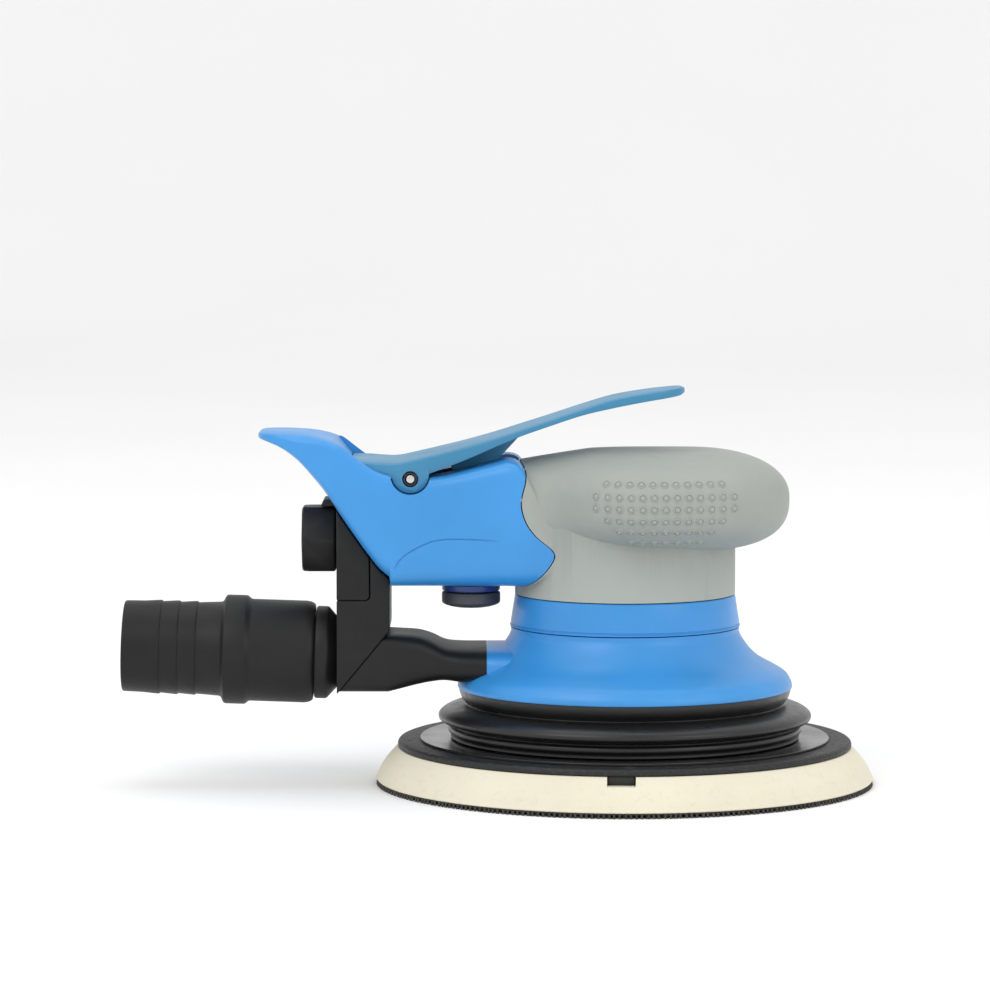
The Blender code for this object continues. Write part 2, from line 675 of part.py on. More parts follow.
def make_valve(mats, plunger_axis):
    """Plunger, bush, seat, disc and spring, from the lever's pusher down."""
    at = {"location": (VALVE_X, 0, 0)}
    seat_top = VALVE_SEAT_BOTTOM + VALVE_SEAT_THICKNESS
    fit = VALVE_BORE - GAP
    seat = ring("valve_seat", VALVE_SEAT_BORE, fit, VALVE_SEAT_BOTTOM, seat_top, MEDIUM, **at)
    finish(seat, mats["brass"])
    bush = ring("valve_bush", VALVE_STEM + GAP, fit, seat_top + GAP, SLOT_FLOOR - 2 * GAP, MEDIUM, **at)
    finish(bush, mats["brass"])
    top = PIVOT_Z - GAP
    disc_top = VALVE_SEAT_BOTTOM - GAP
    disc_bottom = disc_top - VALVE_DISC_THICKNESS
    stem = [
        (0.0, top), (0.9, top), (VALVE_STEM, top - 1.0), (VALVE_STEM, disc_bottom - 1.2),
        (0.0, disc_bottom - 1.2),
    ]
    finish(turned("valve_plunger", stem, SMALL, **at), mats["steel"], plunger_axis)
    disc = [
        (VALVE_STEM + 0.15, disc_top), (VALVE_DISC, disc_top), (VALVE_DISC, disc_bottom),
        (VALVE_STEM + 0.15, disc_bottom),
    ]
    finish(turned("valve_disc", disc, MEDIUM, **at), mats["rubber"], plunger_axis)

    # The spring stands on the regulator's stem and carries the disc.
    low = KNOB_STEM_TOP + SPRING_WIRE + GAP
    high = disc_bottom - SPRING_WIRE - GAP
    curve = bpy.data.curves.new("valve_spring", "CURVE")
    curve.dimensions = "3D"
    curve.bevel_depth = SPRING_WIRE * MM
    curve.bevel_resolution = 0
    curve.use_fill_caps = True
    per_turn = 8
    count = SPRING_TURNS * per_turn + 1
    spline = curve.splines.new("POLY")
    spline.points.add(count - 1)
    for i, point in enumerate(spline.points):
        angle = 2 * pi * i / per_turn
        height = low + (high - low) * i / (count - 1)
        point.co = (SPRING_RADIUS * cos(angle) * MM, SPRING_RADIUS * sin(angle) * MM, height * MM, 1.0)
    spring = bpy.data.objects.new("valve_spring", curve)
    spring.location = (VALVE_X * MM, 0.0, 0.0)
    bpy.data.collections[PARTS].objects.link(spring)
    curve.materials.append(mats["steel"])


def make_regulator(mats, axis):
    """The speed regulator: a knob under the handle on a stem with its seal."""
    at = {"location": (VALVE_X, 0, 0)}
    neck = VALVE_BORE - RUNNING_GAP
    groove = neck - 1.4
    groove_low, groove_high = HANDLE_BOTTOM + 1.6, HANDLE_BOTTOM + 3.6
    knob = [
        (0.0, KNOB_STEM_TOP), (neck, KNOB_STEM_TOP), (neck, groove_high), (groove, groove_high),
        (groove, groove_low), (neck, groove_low), (neck, KNOB_CAP_TOP),
        (KNOB_RADIUS - 0.3, KNOB_CAP_TOP),
        (KNOB_RADIUS, KNOB_CAP_TOP - 0.4), (KNOB_RADIUS, KNOB_BOTTOM + 1.5),
        (KNOB_RADIUS - 1.2, KNOB_BOTTOM + 0.6), (KNOB_RADIUS - 4.0, KNOB_BOTTOM + 0.1),
        (0.0, KNOB_BOTTOM),
    ]
    finish(turned("regulator_knob", knob, ROUND, **at), mats["grey_plastic"], axis)
    seal = ring(
        "regulator_seal", groove + 0.15, VALVE_BORE - 0.2, groove_low + 0.2, groove_high - 0.2, MEDIUM,
        **at,
    )
    finish(seal, mats["rubber"], axis)
    collar = ring(
        "regulator_ring", neck + RUNNING_GAP, KNOB_RADIUS - 0.1, KNOB_CAP_TOP + RUNNING_GAP,
        KNOB_RING_TOP, ROUND, **at,
    )
    finish(collar, mats["navy"])


def make_inlet(mats):
    """The hexagonal air inlet, its strainer, and the block that it clamps."""
    hexagon = ring(
        "inlet_bushing", 0.0, INLET_FLATS / 2 / cos(pi / 6), 0.0, INLET_RIGHT - INLET_LEFT, 6,
        location=(INLET_LEFT, 0, INLET_Z), rotation=(0, pi / 2, 0),
    )
    hexagon.data.transform(Matrix.Rotation(pi / 2, 4, "Z"))
    rounded(hexagon, 0.8)
    stem = rod(
        "cut_inlet_stem", INLET_STEM_RADIUS, (INLET_RIGHT - 1, 0, INLET_Z), (INLET_STEM_END, 0, INLET_Z),
        steps=MEDIUM, cutter=True,
    )
    bore = rod(
        "cut_inlet_bore", INLET_BORE, (INLET_LEFT - 5, 0, INLET_Z), (INLET_STEM_END + 5, 0, INLET_Z),
        steps=MEDIUM, cutter=True,
    )
    mouth = rod(
        "cut_inlet_mouth", INLET_BORE + 1.6, (INLET_LEFT - 1, 0, INLET_Z), (INLET_LEFT + 2, 0, INLET_Z),
        steps=MEDIUM, cutter=True, end_radius=INLET_BORE,
    )
    join(hexagon, stem)
    cut(hexagon, bore, mouth)
    finish(hexagon, mats["black"])

    strainer_x = INLET_STEM_END - 3.0
    strainer = rod(
        "inlet_strainer", INLET_BORE - GAP, (strainer_x, 0, INLET_Z), (strainer_x + 0.8, 0, INLET_Z),
        steps=MEDIUM,
    )
    for i, _, y, z in on_circle(6, 3.2):
        cut(strainer, rod(
            f"cut_strainer_{i}", 0.9, (strainer_x - 1, y, INLET_Z + z), (strainer_x + 2, y, INLET_Z + z),
            steps=8, cutter=True,
        ))
    finish(strainer, mats["brass"])

    left, right, low = BLOCK_LEFT, BLOCK_SPLIT_X - GAP / 2, BLOCK_SPLIT_Z
    corner = [(right - 1.2, low), (right - 0.35, low + 0.35), (right, low + 1.2)]
    outline = [(left, low)] + corner + [(right, handle_edge(right)), (left, handle_edge(left))]
    holder = plate("inlet_block", outline, -BLOCK_HALF_WIDTH, BLOCK_HALF_WIDTH)
    tongue = [
        (TONGUE_LEFT, TONGUE_BOTTOM), (TONGUE_LEFT + 0.8, TONGUE_TOP), (TONGUE_RIGHT, TONGUE_TOP),
        (TONGUE_RIGHT, TONGUE_ROOT), (left, TONGUE_ROOT), (left, TONGUE_BOTTOM),
    ]
    join(holder, plate("cut_tongue_shape", tongue, -TONGUE_HALF_WIDTH, TONGUE_HALF_WIDTH, cutter=True))
    stem_room = rod(
        "cut_stem_room", INLET_STEM_RADIUS + GAP, (-LARGE, 0, INLET_Z), (LARGE, 0, INLET_Z), steps=MEDIUM,
        cutter=True,
    )
    cut(holder, stem_room)
    finish(holder, mats["black"])
    return stem_room


def handle_edge(x):
    """Just below the handle's slanted back edge at x."""
    return follow([(station[0], station[2]) for station in HANDLE_STATIONS], x) - 2 * GAP


# ------------------------------------------------------------------ exhaust and dust path

def make_elbow(mats, hose, stem_room):
    """The elbow under the handle: exhaust air comes down it and draws dust into the hose."""
    (seam_x0, seam_z0), (seam_x1, seam_z1) = DUCT_SEAM
    column = BLOCK_SPLIT_X + GAP / 2
    low = BLOCK_SPLIT_Z - GAP
    right = BLOCK_RIGHT
    outline = [
        (seam_x0, seam_z0), (seam_x1, seam_z1), (right, handle_edge(right) - GAP),
        (column, handle_edge(column)), (column, low + 1.2),
        (column - 0.35, low + 0.35), (column - 1.2, low), (BLOCK_LEFT, low),
    ]
    elbow = plate("exhaust_elbow", outline, -BLOCK_HALF_WIDTH, BLOCK_HALF_WIDTH)
    end = HOSE_SPIGOT_LENGTH
    neck = [
        (0.0, end), (HOSE_SPIGOT_RADIUS, end), (HOSE_SPIGOT_RADIUS, end - 1.6),
        (HOSE_SPIGOT_RADIUS - 1.0, end - 1.6), (HOSE_SPIGOT_RADIUS - 1.0, end - 3.2),
        (HOSE_SPIGOT_RADIUS, end - 3.2), (HOSE_SPIGOT_RADIUS, CUFF_START - RUNNING_GAP),
        (HOSE_NECK_RADIUS, CUFF_START - RUNNING_GAP), (HOSE_NECK_RADIUS, 2.8),
        (HOSE_ROOT_RADIUS + 0.3, 0.3), (HOSE_ROOT_RADIUS, 0.1), (HOSE_ROOT_RADIUS, -0.4), (0.0, -0.4),
    ]
    join(elbow, turned(
        "cut_hose_neck", neck, ROUND, location=hose.location / MM, rotation=hose.rotation_euler,
        cutter=True,
    ))
    bore = ring(
        "cut_hose_bore", 0.0, HOSE_BORE, -13.4, end + 5, MEDIUM,
        location=hose.location / MM, rotation=hose.rotation_euler, cutter=True,
    )
    slot = block(
        "cut_exhaust_slot", (EXHAUST_SLOT[0], -EXHAUST_SLOT_HALF_WIDTH, HOSE_Z),
        (EXHAUST_SLOT[1], EXHAUST_SLOT_HALF_WIDTH, LARGE), cutter=True,
    )
    cut(elbow, bore, slot, stem_room)
    finish(elbow, mats["black"])

    felt = block(
        "exhaust_muffler",
        (EXHAUST_SLOT[0] + GAP, GAP - EXHAUST_SLOT_HALF_WIDTH, MUFFLER_BOTTOM),
        (EXHAUST_SLOT[1] - GAP, EXHAUST_SLOT_HALF_WIDTH - GAP, MUFFLER_TOP),
    )
    finish(felt, mats["felt"])


def duct_bores(stations, inset):
    """Sections like the duct's own, moved in by the inset and rounder."""
    return [
        section(x, top - inset, bottom + inset, half - inset, max(2.4, power * 0.6), points=16)
        for x, top, bottom, half, power in stations
    ]


def make_duct(mats):
    """The duct from the shroud's spigot to the elbow."""
    outer = [section(*station[:4], station[4]) for station in DUCT_STATIONS]
    inner = duct_bores(DUCT_STATIONS, DUCT_WALL)
    inner.insert(0, [(x - 5, y, z) for x, y, z in inner[0]])
    inner.append([(x + 5, y, z) for x, y, z in inner[-1]])
    duct = loft("vacuum_duct", outer)
    (x0, z0), (x1, z1) = DUCT_SEAM
    along = Vector((x1 - x0, z1 - z0))
    across = GAP * Vector((along.y, -along.x)).normalized()
    low, high = (Vector(point) + across + along * share for point, share in (((x0, z0), -1), ((x1, z1), 1)))
    beyond = plate(
        "cut_duct_seam", [tuple(low), tuple(high), (-LARGE, high.y), (-LARGE, low.y)], -LARGE, LARGE,
        cutter=True,
    )
    rim = SHROUD_RADIUS + GAP
    clear = turned(
        "cut_duct_shroud", [(0.0, 60.0), (34.6, 60.0), *shroud_outer(GAP), (rim, 10.0), (0.0, 10.0)],
        FINE, cutter=True,
    )
    cut(duct, loft("cut_duct_bore", inner, cutter=True), beyond, clear)
    finish(duct, mats["black"])


def make_cuff(mats, hose):
    """The swivel cuff that the vacuum hose pushes onto, and the clip that holds it."""
    bore = HOSE_SPIGOT_RADIUS + RUNNING_GAP
    step = HOSE_SPIGOT_LENGTH + 2.0
    barbs = []
    for start in (CUFF_END - 11.4, CUFF_END - 16.8, CUFF_END - 22.2):
        root = CUFF_TIP_RADIUS + 0.1
        barbs += [(root, start + 5.2), (CUFF_BARB_RADIUS, start + 0.4), (root, start)]
    collar_out = CUFF_END - 30.8
    collar_in = collar_out - 6.0
    outer = [(CUFF_TIP_RADIUS - 0.4, CUFF_END), (CUFF_TIP_RADIUS, CUFF_END - 0.8)] + barbs + [
        (CUFF_TIP_RADIUS + 0.5, collar_out + 1.4), (CUFF_COLLAR_RADIUS - 0.5, collar_out + 0.4),
        (CUFF_COLLAR_RADIUS, collar_out - 0.4), (CUFF_COLLAR_RADIUS, collar_in),
        (CUFF_RADIUS, collar_in - 1.4), (CUFF_RADIUS, CUFF_START + 2.6),
        (CUFF_RADIUS - 0.5, CUFF_START + 0.5), (CUFF_RADIUS - 1.0, CUFF_START),
    ]
    inner = [(bore, CUFF_START), (bore, step), (CUFF_BORE, step + 1.0), (CUFF_BORE, CUFF_END)]
    where = {"location": hose.location / MM, "rotation": hose.rotation_euler}
    finish(turned("hose_cuff", outer + inner, ROUND, **where), mats["black"], hose)
    end = HOSE_SPIGOT_LENGTH
    clip = ring("cuff_clip", HOSE_SPIGOT_RADIUS - 0.8, bore - 0.15, end - 3.0, end - 1.8, ROUND, **where)
    finish(clip, mats["steel"])


# ------------------------------------------------------------------ collar, shroud, boot

def make_collar(blue):
    """The threaded ring that clamps the case to the shroud."""
    inside = CASE_RADIUS + GAP
    profile = [
        (inside, COLLAR_TOP), (COLLAR_TOP_RADIUS, COLLAR_TOP),
        (COLLAR_BOTTOM_RADIUS - 0.4, COLLAR_BOTTOM + 1.2), (COLLAR_BOTTOM_RADIUS - 0.2, COLLAR_BOTTOM),
        (inside, COLLAR_BOTTOM),
    ]
    finish(turned("lock_ring", profile, FINE), blue)


def make_shroud(blue):
    """The flared dust shroud with its spigot towards the duct."""
    side = shroud_outer()
    shroud = turned("dust_shroud", [(0.0, side[0][1])] + side + [(0.0, SHROUD_BOTTOM)], FINE)
    top, bottom, half, power = DUCT_STATIONS[-1][1:]
    face = DUCT_STATIONS[-1][0] + GAP
    spigot = loft(
        "cut_spigot",
        [section(x, top, bottom, half, power) for x in (face, -28.0)], cutter=True,
    )
    into_room = (-30.0, *DUCT_STATIONS[-1][1:])
    nipple_stations = [*DUCT_STATIONS[-2:], into_room]
    nipple = loft("cut_nipple", duct_bores(nipple_stations, DUCT_WALL + GAP), cutter=True)
    hole = duct_bores([*DUCT_STATIONS[-3:], into_room], DUCT_WALL + GAP + NIPPLE_WALL)
    duct_hole = loft("cut_spigot_hole", hole, cutter=True)
    wall = SHROUD_WALL
    inside = [(r - wall, z - wall * 0.7) for r, z in side[2:-2]]
    inside.append((side[-2][0] - wall, SHROUD_BOTTOM + BOOT_LIP))
    room = turned(
        "cut_shroud_room",
        [(0.0, 60.0), (26.8, 60.0), (26.8, 45.2), (side[1][0] - wall, 45.2)] + inside
        + [(SHROUD_RADIUS - wall, 0.0), (0.0, 0.0)],
        FINE, cutter=True,
    )
    join(shroud, spigot)
    cut(shroud, room)
    join(shroud, nipple)
    inner_room = ring("cut_shroud_core", 0.0, 32.0, 0.0, 45.2, ROUND, cutter=True)
    cut(shroud, inner_room, duct_hole)
    finish(shroud, blue)


def make_boot(rubber):
    """The bellows between the shroud and the pad, with two folds and a free lower edge."""
    low = PLATE_BOTTOM + PLATE_THICKNESS + GAP + PAD_RING_HEIGHT + RUNNING_GAP
    rim = SHROUD_RADIUS
    inside = rim - SHROUD_WALL - 2 * GAP
    lip = SHROUD_BOTTOM + BOOT_LIP
    outer = [
        (inside, lip), (inside, SHROUD_BOTTOM - GAP), (rim - 0.4, SHROUD_BOTTOM - GAP),
        (rim - 0.5, 27.2), (rim - 1.3, 25.3), (rim - 3.0, 23.7), (rim + 4.2, 22.3), (rim + 5.7, 21.4),
        (rim + 5.7, 20.2), (rim + 1.9, 18.7), (rim + 2.8, 17.8), (rim + 2.8, 16.3), (rim + 2.1, 15.5),
        (rim + 2.0, low),
    ]
    inner = [
        (rim + 2.0 - BOOT_WALL, low), (rim + 2.0 - BOOT_WALL, 16.6), (rim - 0.2, 18.4),
        (rim - 0.2, 19.4), (rim + 3.5, 20.8), (rim - 4.6, 22.6), (rim - 4.6, 25.6),
        (inside - BOOT_WALL, 27.4), (inside - BOOT_WALL, lip),
    ]
    finish(turned("dust_boot", outer + inner, FINE), rubber)


# ------------------------------------------------------------------ pad

def make_pad(mats, axis):
    """Hook face, foam, backing plate, the boot's track, and the hub that the spindle screws onto."""
    centre = (0.0, ECCENTRICITY)
    at = {"location": (*centre, 0.0)}
    foam_low, foam_high = HOOK_THICKNESS + GAP, PLATE_BOTTOM - GAP
    plate_top = PLATE_BOTTOM + PLATE_THICKNESS

    holes = [
        rod(f"cut_dust_{i}", DUST_HOLE_RADIUS, (x, y, -5), (x, y, 25), steps=16, cutter=True)
        for i, _, x, y in on_circle(DUST_HOLE_COUNT, DUST_HOLE_CIRCLE, pi / 6, centre)
    ]
    hooks = ring("hook_face", 0.0, PAD_RADIUS, 0.0, HOOK_THICKNESS, FINE, **at)
    cut(hooks, *holes)
    finish(hooks, mats["hooks"], axis)

    side = []
    for i in range(6):
        share = i / 5
        radius = PLATE_RADIUS + (PAD_RADIUS - PLATE_RADIUS) * share + FOAM_BULGE * sin(pi * share)
        side.append((radius, foam_high + (foam_low - foam_high) * share))
    foam = turned("pad_foam", [(0.0, foam_high)] + side + [(0.0, foam_low)], FINE, **at)
    cut(foam, *holes)
    for i, angle, x, y in on_circle(NOTCH_COUNT, PLATE_RADIUS, radians(NOTCH_START), centre):
        notch = block(
            f"cut_notch_{i}", (-NOTCH_DEPTH, -NOTCH_WIDTH / 2, foam_high - NOTCH_HEIGHT),
            (NOTCH_DEPTH, NOTCH_WIDTH / 2, foam_high + 1), cutter=True,
        )
        notch.data.transform(Matrix.Rotation(angle, 4, "Z"))
        notch.location = (x * MM, y * MM, 0.0)
        cut(foam, notch)
    finish(foam, mats["foam"], axis)

    backing = turned(
        "pad_plate",
        [(0.0, plate_top), (PLATE_RADIUS - 0.7, plate_top), (PLATE_RADIUS, plate_top - 0.6),
         (PLATE_RADIUS, PLATE_BOTTOM + 0.5), (PLATE_RADIUS - 0.5, PLATE_BOTTOM), (0.0, PLATE_BOTTOM)],
        FINE, **at,
    )
    cut(backing, *holes)
    ring_low = plate_top + GAP
    track = ring("pad_ring", *PAD_RING_RADII, ring_low, ring_low + PAD_RING_HEIGHT, FINE, **at)
    finish(track, mats["track"], axis)

    hub_low = plate_top + GAP
    hub_top = hub_low + HUB_THICKNESS
    hub = turned(
        "pad_hub",
        [(0.0, hub_top + HUB_STUD_LENGTH), (HUB_STUD_RADIUS - 0.4, hub_top + HUB_STUD_LENGTH),
         (HUB_STUD_RADIUS, hub_top + HUB_STUD_LENGTH - 0.5), (HUB_STUD_RADIUS, hub_top),
         (HUB_RADIUS, hub_top), (HUB_RADIUS, hub_low), (0.0, hub_low)],
        MEDIUM, **at,
    )
    for i, _, x, y in on_circle(HUB_RIVET_COUNT, HUB_RIVET_CIRCLE, pi / 2, centre):
        hole = rod(
            f"cut_rivet_{i}", HUB_RIVET_RADIUS + GAP, (x, y, PLATE_BOTTOM - 5), (x, y, hub_top + 5),
            cutter=True,
        )
        cut(hub, hole)
        cut(backing, hole)
        head = HUB_RIVET_RADIUS + 0.9
        rivet = [
            (0.0, hub_top + 1.2), (head * 0.6, hub_top + 1.1), (head, hub_top + GAP),
            (HUB_RIVET_RADIUS, hub_top + GAP), (HUB_RIVET_RADIUS, PLATE_BOTTOM + 0.1),
            (0.0, PLATE_BOTTOM + 0.1),
        ]
        finish(turned(f"hub_rivet_{i + 1}", rivet, SMALL, location=(x, y, 0.0)), mats["steel"], axis)
    finish(hub, mats["steel"], axis)
    finish(backing, mats["plate"], axis)
    return hub_top


# ------------------------------------------------------------------ orbit drive and motor

def make_bearing(name, size, bottom, centre, mats, inner_axis, outer_axis):
    """A shielded ball bearing as its inner and outer race."""
    at = {"location": (*centre, 0.0)}
    top = bottom + size["width"]
    split = size["bore"] + (size["outer"] - size["bore"]) * 0.36
    finish(ring(f"{name}_inner", size["bore"], split, bottom, top, ROUND, **at), mats["steel"], inner_axis)
    lip = [
        (size["outer"], top), (size["outer"], bottom), (split + RUNNING_GAP, bottom),
        (split + RUNNING_GAP, top),
    ]
    finish(turned(f"{name}_outer", lip, ROUND, **at), mats["dark_steel"], outer_axis)


def make_spindle(mats, hub_top, crank_axis, pad_axis):
    """The spindle in its two bearings, and the clips that keep them. Returns the pocket's heights."""
    centre = (0.0, ECCENTRICITY)
    at = {"location": (*centre, 0.0)}
    width = SPINDLE_BEARING["width"]
    flats_low = hub_top + RUNNING_GAP
    flats_top = flats_low + SPINDLE_FLATS_HEIGHT
    clip_low = flats_top + RUNNING_GAP
    pocket_low = clip_low - 0.6
    lower = clip_low + CIRCLIP_THICKNESS + GAP
    upper = lower + width + GAP
    top = upper + width + 2 * GAP + CIRCLIP_THICKNESS + 0.6
    bore = HUB_STUD_RADIUS + GAP
    shaft_low = lower - GAP
    shoulder = SPINDLE_RADIUS + 2.0
    spindle = turned(
        "spindle",
        [(0.0, top), (SPINDLE_RADIUS - 0.3, top), (SPINDLE_RADIUS, top - 0.4),
         (SPINDLE_RADIUS, shaft_low), (shoulder, shaft_low), (shoulder, flats_top),
         (SPINDLE_FLATS_RADIUS, flats_top), (SPINDLE_FLATS_RADIUS, flats_low), (bore, flats_low),
         (bore, hub_top + HUB_STUD_LENGTH + 1.0), (0.0, hub_top + HUB_STUD_LENGTH + 1.0)],
        MEDIUM, **at,
    )
    for side in (-1, 1):
        name = "front" if side < 0 else "rear"
        near, far = sorted((side * SPINDLE_FLATS_RADIUS * 0.84, side * 20.0))
        cut(spindle, block(
            f"cut_flat_{name}", (-20, ECCENTRICITY + near, flats_low - 1),
            (20, ECCENTRICITY + far, flats_top), cutter=True,
        ))
    finish(spindle, mats["steel"], pad_axis)
    make_bearing("spindle_bearing_lower", SPINDLE_BEARING, lower, centre, mats, pad_axis, crank_axis)
    make_bearing("spindle_bearing_upper", SPINDLE_BEARING, upper, centre, mats, pad_axis, crank_axis)
    circlip = ring(
        "bearing_circlip", shoulder + RUNNING_GAP + 2 * GAP, SPINDLE_BEARING["outer"], clip_low,
        clip_low + CIRCLIP_THICKNESS, MEDIUM, **at,
    )
    finish(circlip, mats["dark_steel"], crank_axis)
    clip = ring(
        "spindle_circlip", SPINDLE_RADIUS + 0.15, SPINDLE_RADIUS + 2.2, upper + width + GAP,
        upper + width + GAP + CIRCLIP_THICKNESS, MEDIUM, **at,
    )
    finish(clip, mats["dark_steel"], pad_axis)
    return pocket_low, top + 0.8


def make_crank(mats, pocket_low, pocket_top, axis, motor_top):
    """The motor shaft in one piece with the crank: a barrel off the axis and a counterweight."""
    barrel = SPINDLE_BEARING["outer"] + GAP + CRANK_BARREL_WALL
    web_top = pocket_top + CRANK_WEB
    crank = ring("crank_shaft", 0.0, SHAFT_RADIUS, web_top - 1, motor_top, MEDIUM)
    drum = ring(
        "cut_crank_drum", 0.0, barrel, pocket_low, web_top, ROUND, location=(0, ECCENTRICITY, 0),
        cutter=True,
    )
    count = 14
    spread = radians(150)
    arc = []
    for i in range(count + 1):
        angle = -pi / 2 - spread / 2 + spread * i / count
        arc.append((COUNTERWEIGHT_RADIUS * cos(angle), COUNTERWEIGHT_RADIUS * sin(angle)))
    weight = plate(
        "cut_counterweight", arc + [(6.0, 0.0), (-6.0, 0.0)], web_top - COUNTERWEIGHT_HEIGHT, web_top,
        upright=False, cutter=True,
    )
    pocket = ring(
        "cut_crank_pocket", 0.0, SPINDLE_BEARING["outer"] + GAP, pocket_low - 5, pocket_top, MEDIUM,
        location=(0, ECCENTRICITY, 0), cutter=True,
    )
    join(crank, drum, weight)
    cut(crank, pocket)
    cut(crank, keyway(SHAFT_RADIUS - 1.5, "cut_keyway_shaft"))
    finish(crank, mats["steel"], axis)


def keyway(reach, name, grow=GAP, cutter=True):
    """The space of the key that locks the rotor to the shaft."""
    low = MOTOR_BOTTOM + END_PLATE_THICKNESS + 4.0
    high = low + 10.0
    half = KEY_WIDTH / 2 + grow
    outer = SHAFT_RADIUS + 1.6 + grow
    return block(name, (reach - grow, -half, low - grow), (outer, half, high + grow), cutter)


def make_motor(mats, axis):
    """Cylinder, end plates, rotor, vanes, bearings and dowel. Returns the top of the shaft."""
    low_plate = MOTOR_BOTTOM
    cylinder_low = low_plate + END_PLATE_THICKNESS
    cylinder_top = cylinder_low + CYLINDER_HEIGHT
    top_plate = cylinder_top + END_PLATE_THICKNESS
    pocket = ROTOR_BEARING["outer"] + GAP
    hub = ROTOR_BEARING["bore"] + 2.2
    width = ROTOR_BEARING["width"]
    pocket_depth = width + GAP

    lower = turned(
        "lower_end_plate",
        [(MOTOR_RADIUS, cylinder_low - GAP), (MOTOR_RADIUS, low_plate), (pocket, low_plate),
         (pocket, low_plate + pocket_depth), (hub, low_plate + pocket_depth), (hub, cylinder_low - GAP)],
        ROUND,
    )
    upper = turned(
        "upper_end_plate",
        [(MOTOR_RADIUS, top_plate), (MOTOR_RADIUS, cylinder_top + GAP), (hub, cylinder_top + GAP),
         (hub, top_plate - pocket_depth), (pocket, top_plate - pocket_depth), (pocket, top_plate)],
        ROUND,
    )
    bore_round = ring(
        "cut_cylinder_bore", 0.0, CYLINDER_BORE, cylinder_low - 5, cylinder_top + 5, ROUND,
        location=(-CYLINDER_OFFSET, 0, 0), cutter=True,
    )
    cylinder = ring("motor_cylinder", 0.0, MOTOR_RADIUS, cylinder_low, cylinder_top, ROUND)
    port = block("cut_port", (10, -6, cylinder_low + 5), (30, 6, cylinder_low + 9), cutter=True)
    cut(cylinder, bore_round, port)
    dowel_hole = rod(
        "cut_dowel", DOWEL_RADIUS + GAP, (0, DOWEL_CIRCLE, low_plate + 2.5),
        (0, DOWEL_CIRCLE, top_plate - 2.5), cutter=True,
    )
    for piece in (lower, upper, cylinder):
        cut(piece, dowel_hole)
    finish(lower, mats["alloy"])
    finish(upper, mats["alloy"])
    finish(cylinder, mats["dark_steel"])
    dowel = rod(
        "motor_dowel", DOWEL_RADIUS, (0, DOWEL_CIRCLE, low_plate + 2.8),
        (0, DOWEL_CIRCLE, top_plate - 2.8),
    )
    finish(dowel, mats["steel"])
    retainer = ring(
        "motor_retainer", 20.0, MOTOR_RADIUS, CASE_BOTTOM, low_plate - GAP, ROUND,
    )
    finish(retainer, mats["dark_steel"])

    make_bearing("motor_bearing_lower", ROTOR_BEARING, low_plate, (0.0, 0.0), mats, axis, None)
    make_bearing("motor_bearing_upper", ROTOR_BEARING, top_plate - width, (0.0, 0.0), mats, axis, None)

    rotor_low, rotor_top = cylinder_low + GAP, cylinder_top - GAP
    rotor = ring("rotor", SHAFT_RADIUS + GAP, ROTOR_RADIUS, rotor_low, rotor_top, ROUND)
    vane_root = ROTOR_RADIUS - 0.1 - VANE_DEPTH
    for i, angle, _, _ in on_circle(VANE_COUNT, 1.0, pi / VANE_COUNT):
        turn = Matrix.Rotation(angle, 4, "Z")
        half = VANE_THICKNESS / 2
        slot = block(
            f"cut_vane_{i}", (vane_root - GAP, -half - GAP, rotor_low - 5),
            (30, half + GAP, rotor_top + 5), cutter=True,
        )
        slot.data.transform(turn)
        cut(rotor, slot)
        vane = block(
            f"rotor_vane_{i + 1}", (vane_root, -half, rotor_low + GAP),
            (vane_root + VANE_DEPTH, half, rotor_top - GAP),
        )
        vane.data.transform(turn)
        finish(vane, mats["vane"], axis)
    cut(rotor, keyway(SHAFT_RADIUS - 1.5, "cut_keyway_rotor"))
    finish(rotor, mats["steel"], axis)
    finish(keyway(SHAFT_RADIUS - 1.5, "rotor_key", 0.0, cutter=False), mats["dark_steel"], axis)

    clip = ring(
        "shaft_circlip", SHAFT_RADIUS + 0.15, SHAFT_RADIUS + 2.4, top_plate + GAP,
        top_plate + GAP + CIRCLIP_THICKNESS, MEDIUM,
    )
    finish(clip, mats["dark_steel"], axis)
    return top_plate + GAP + CIRCLIP_THICKNESS + 0.8


# ------------------------------------------------------------------ assembly

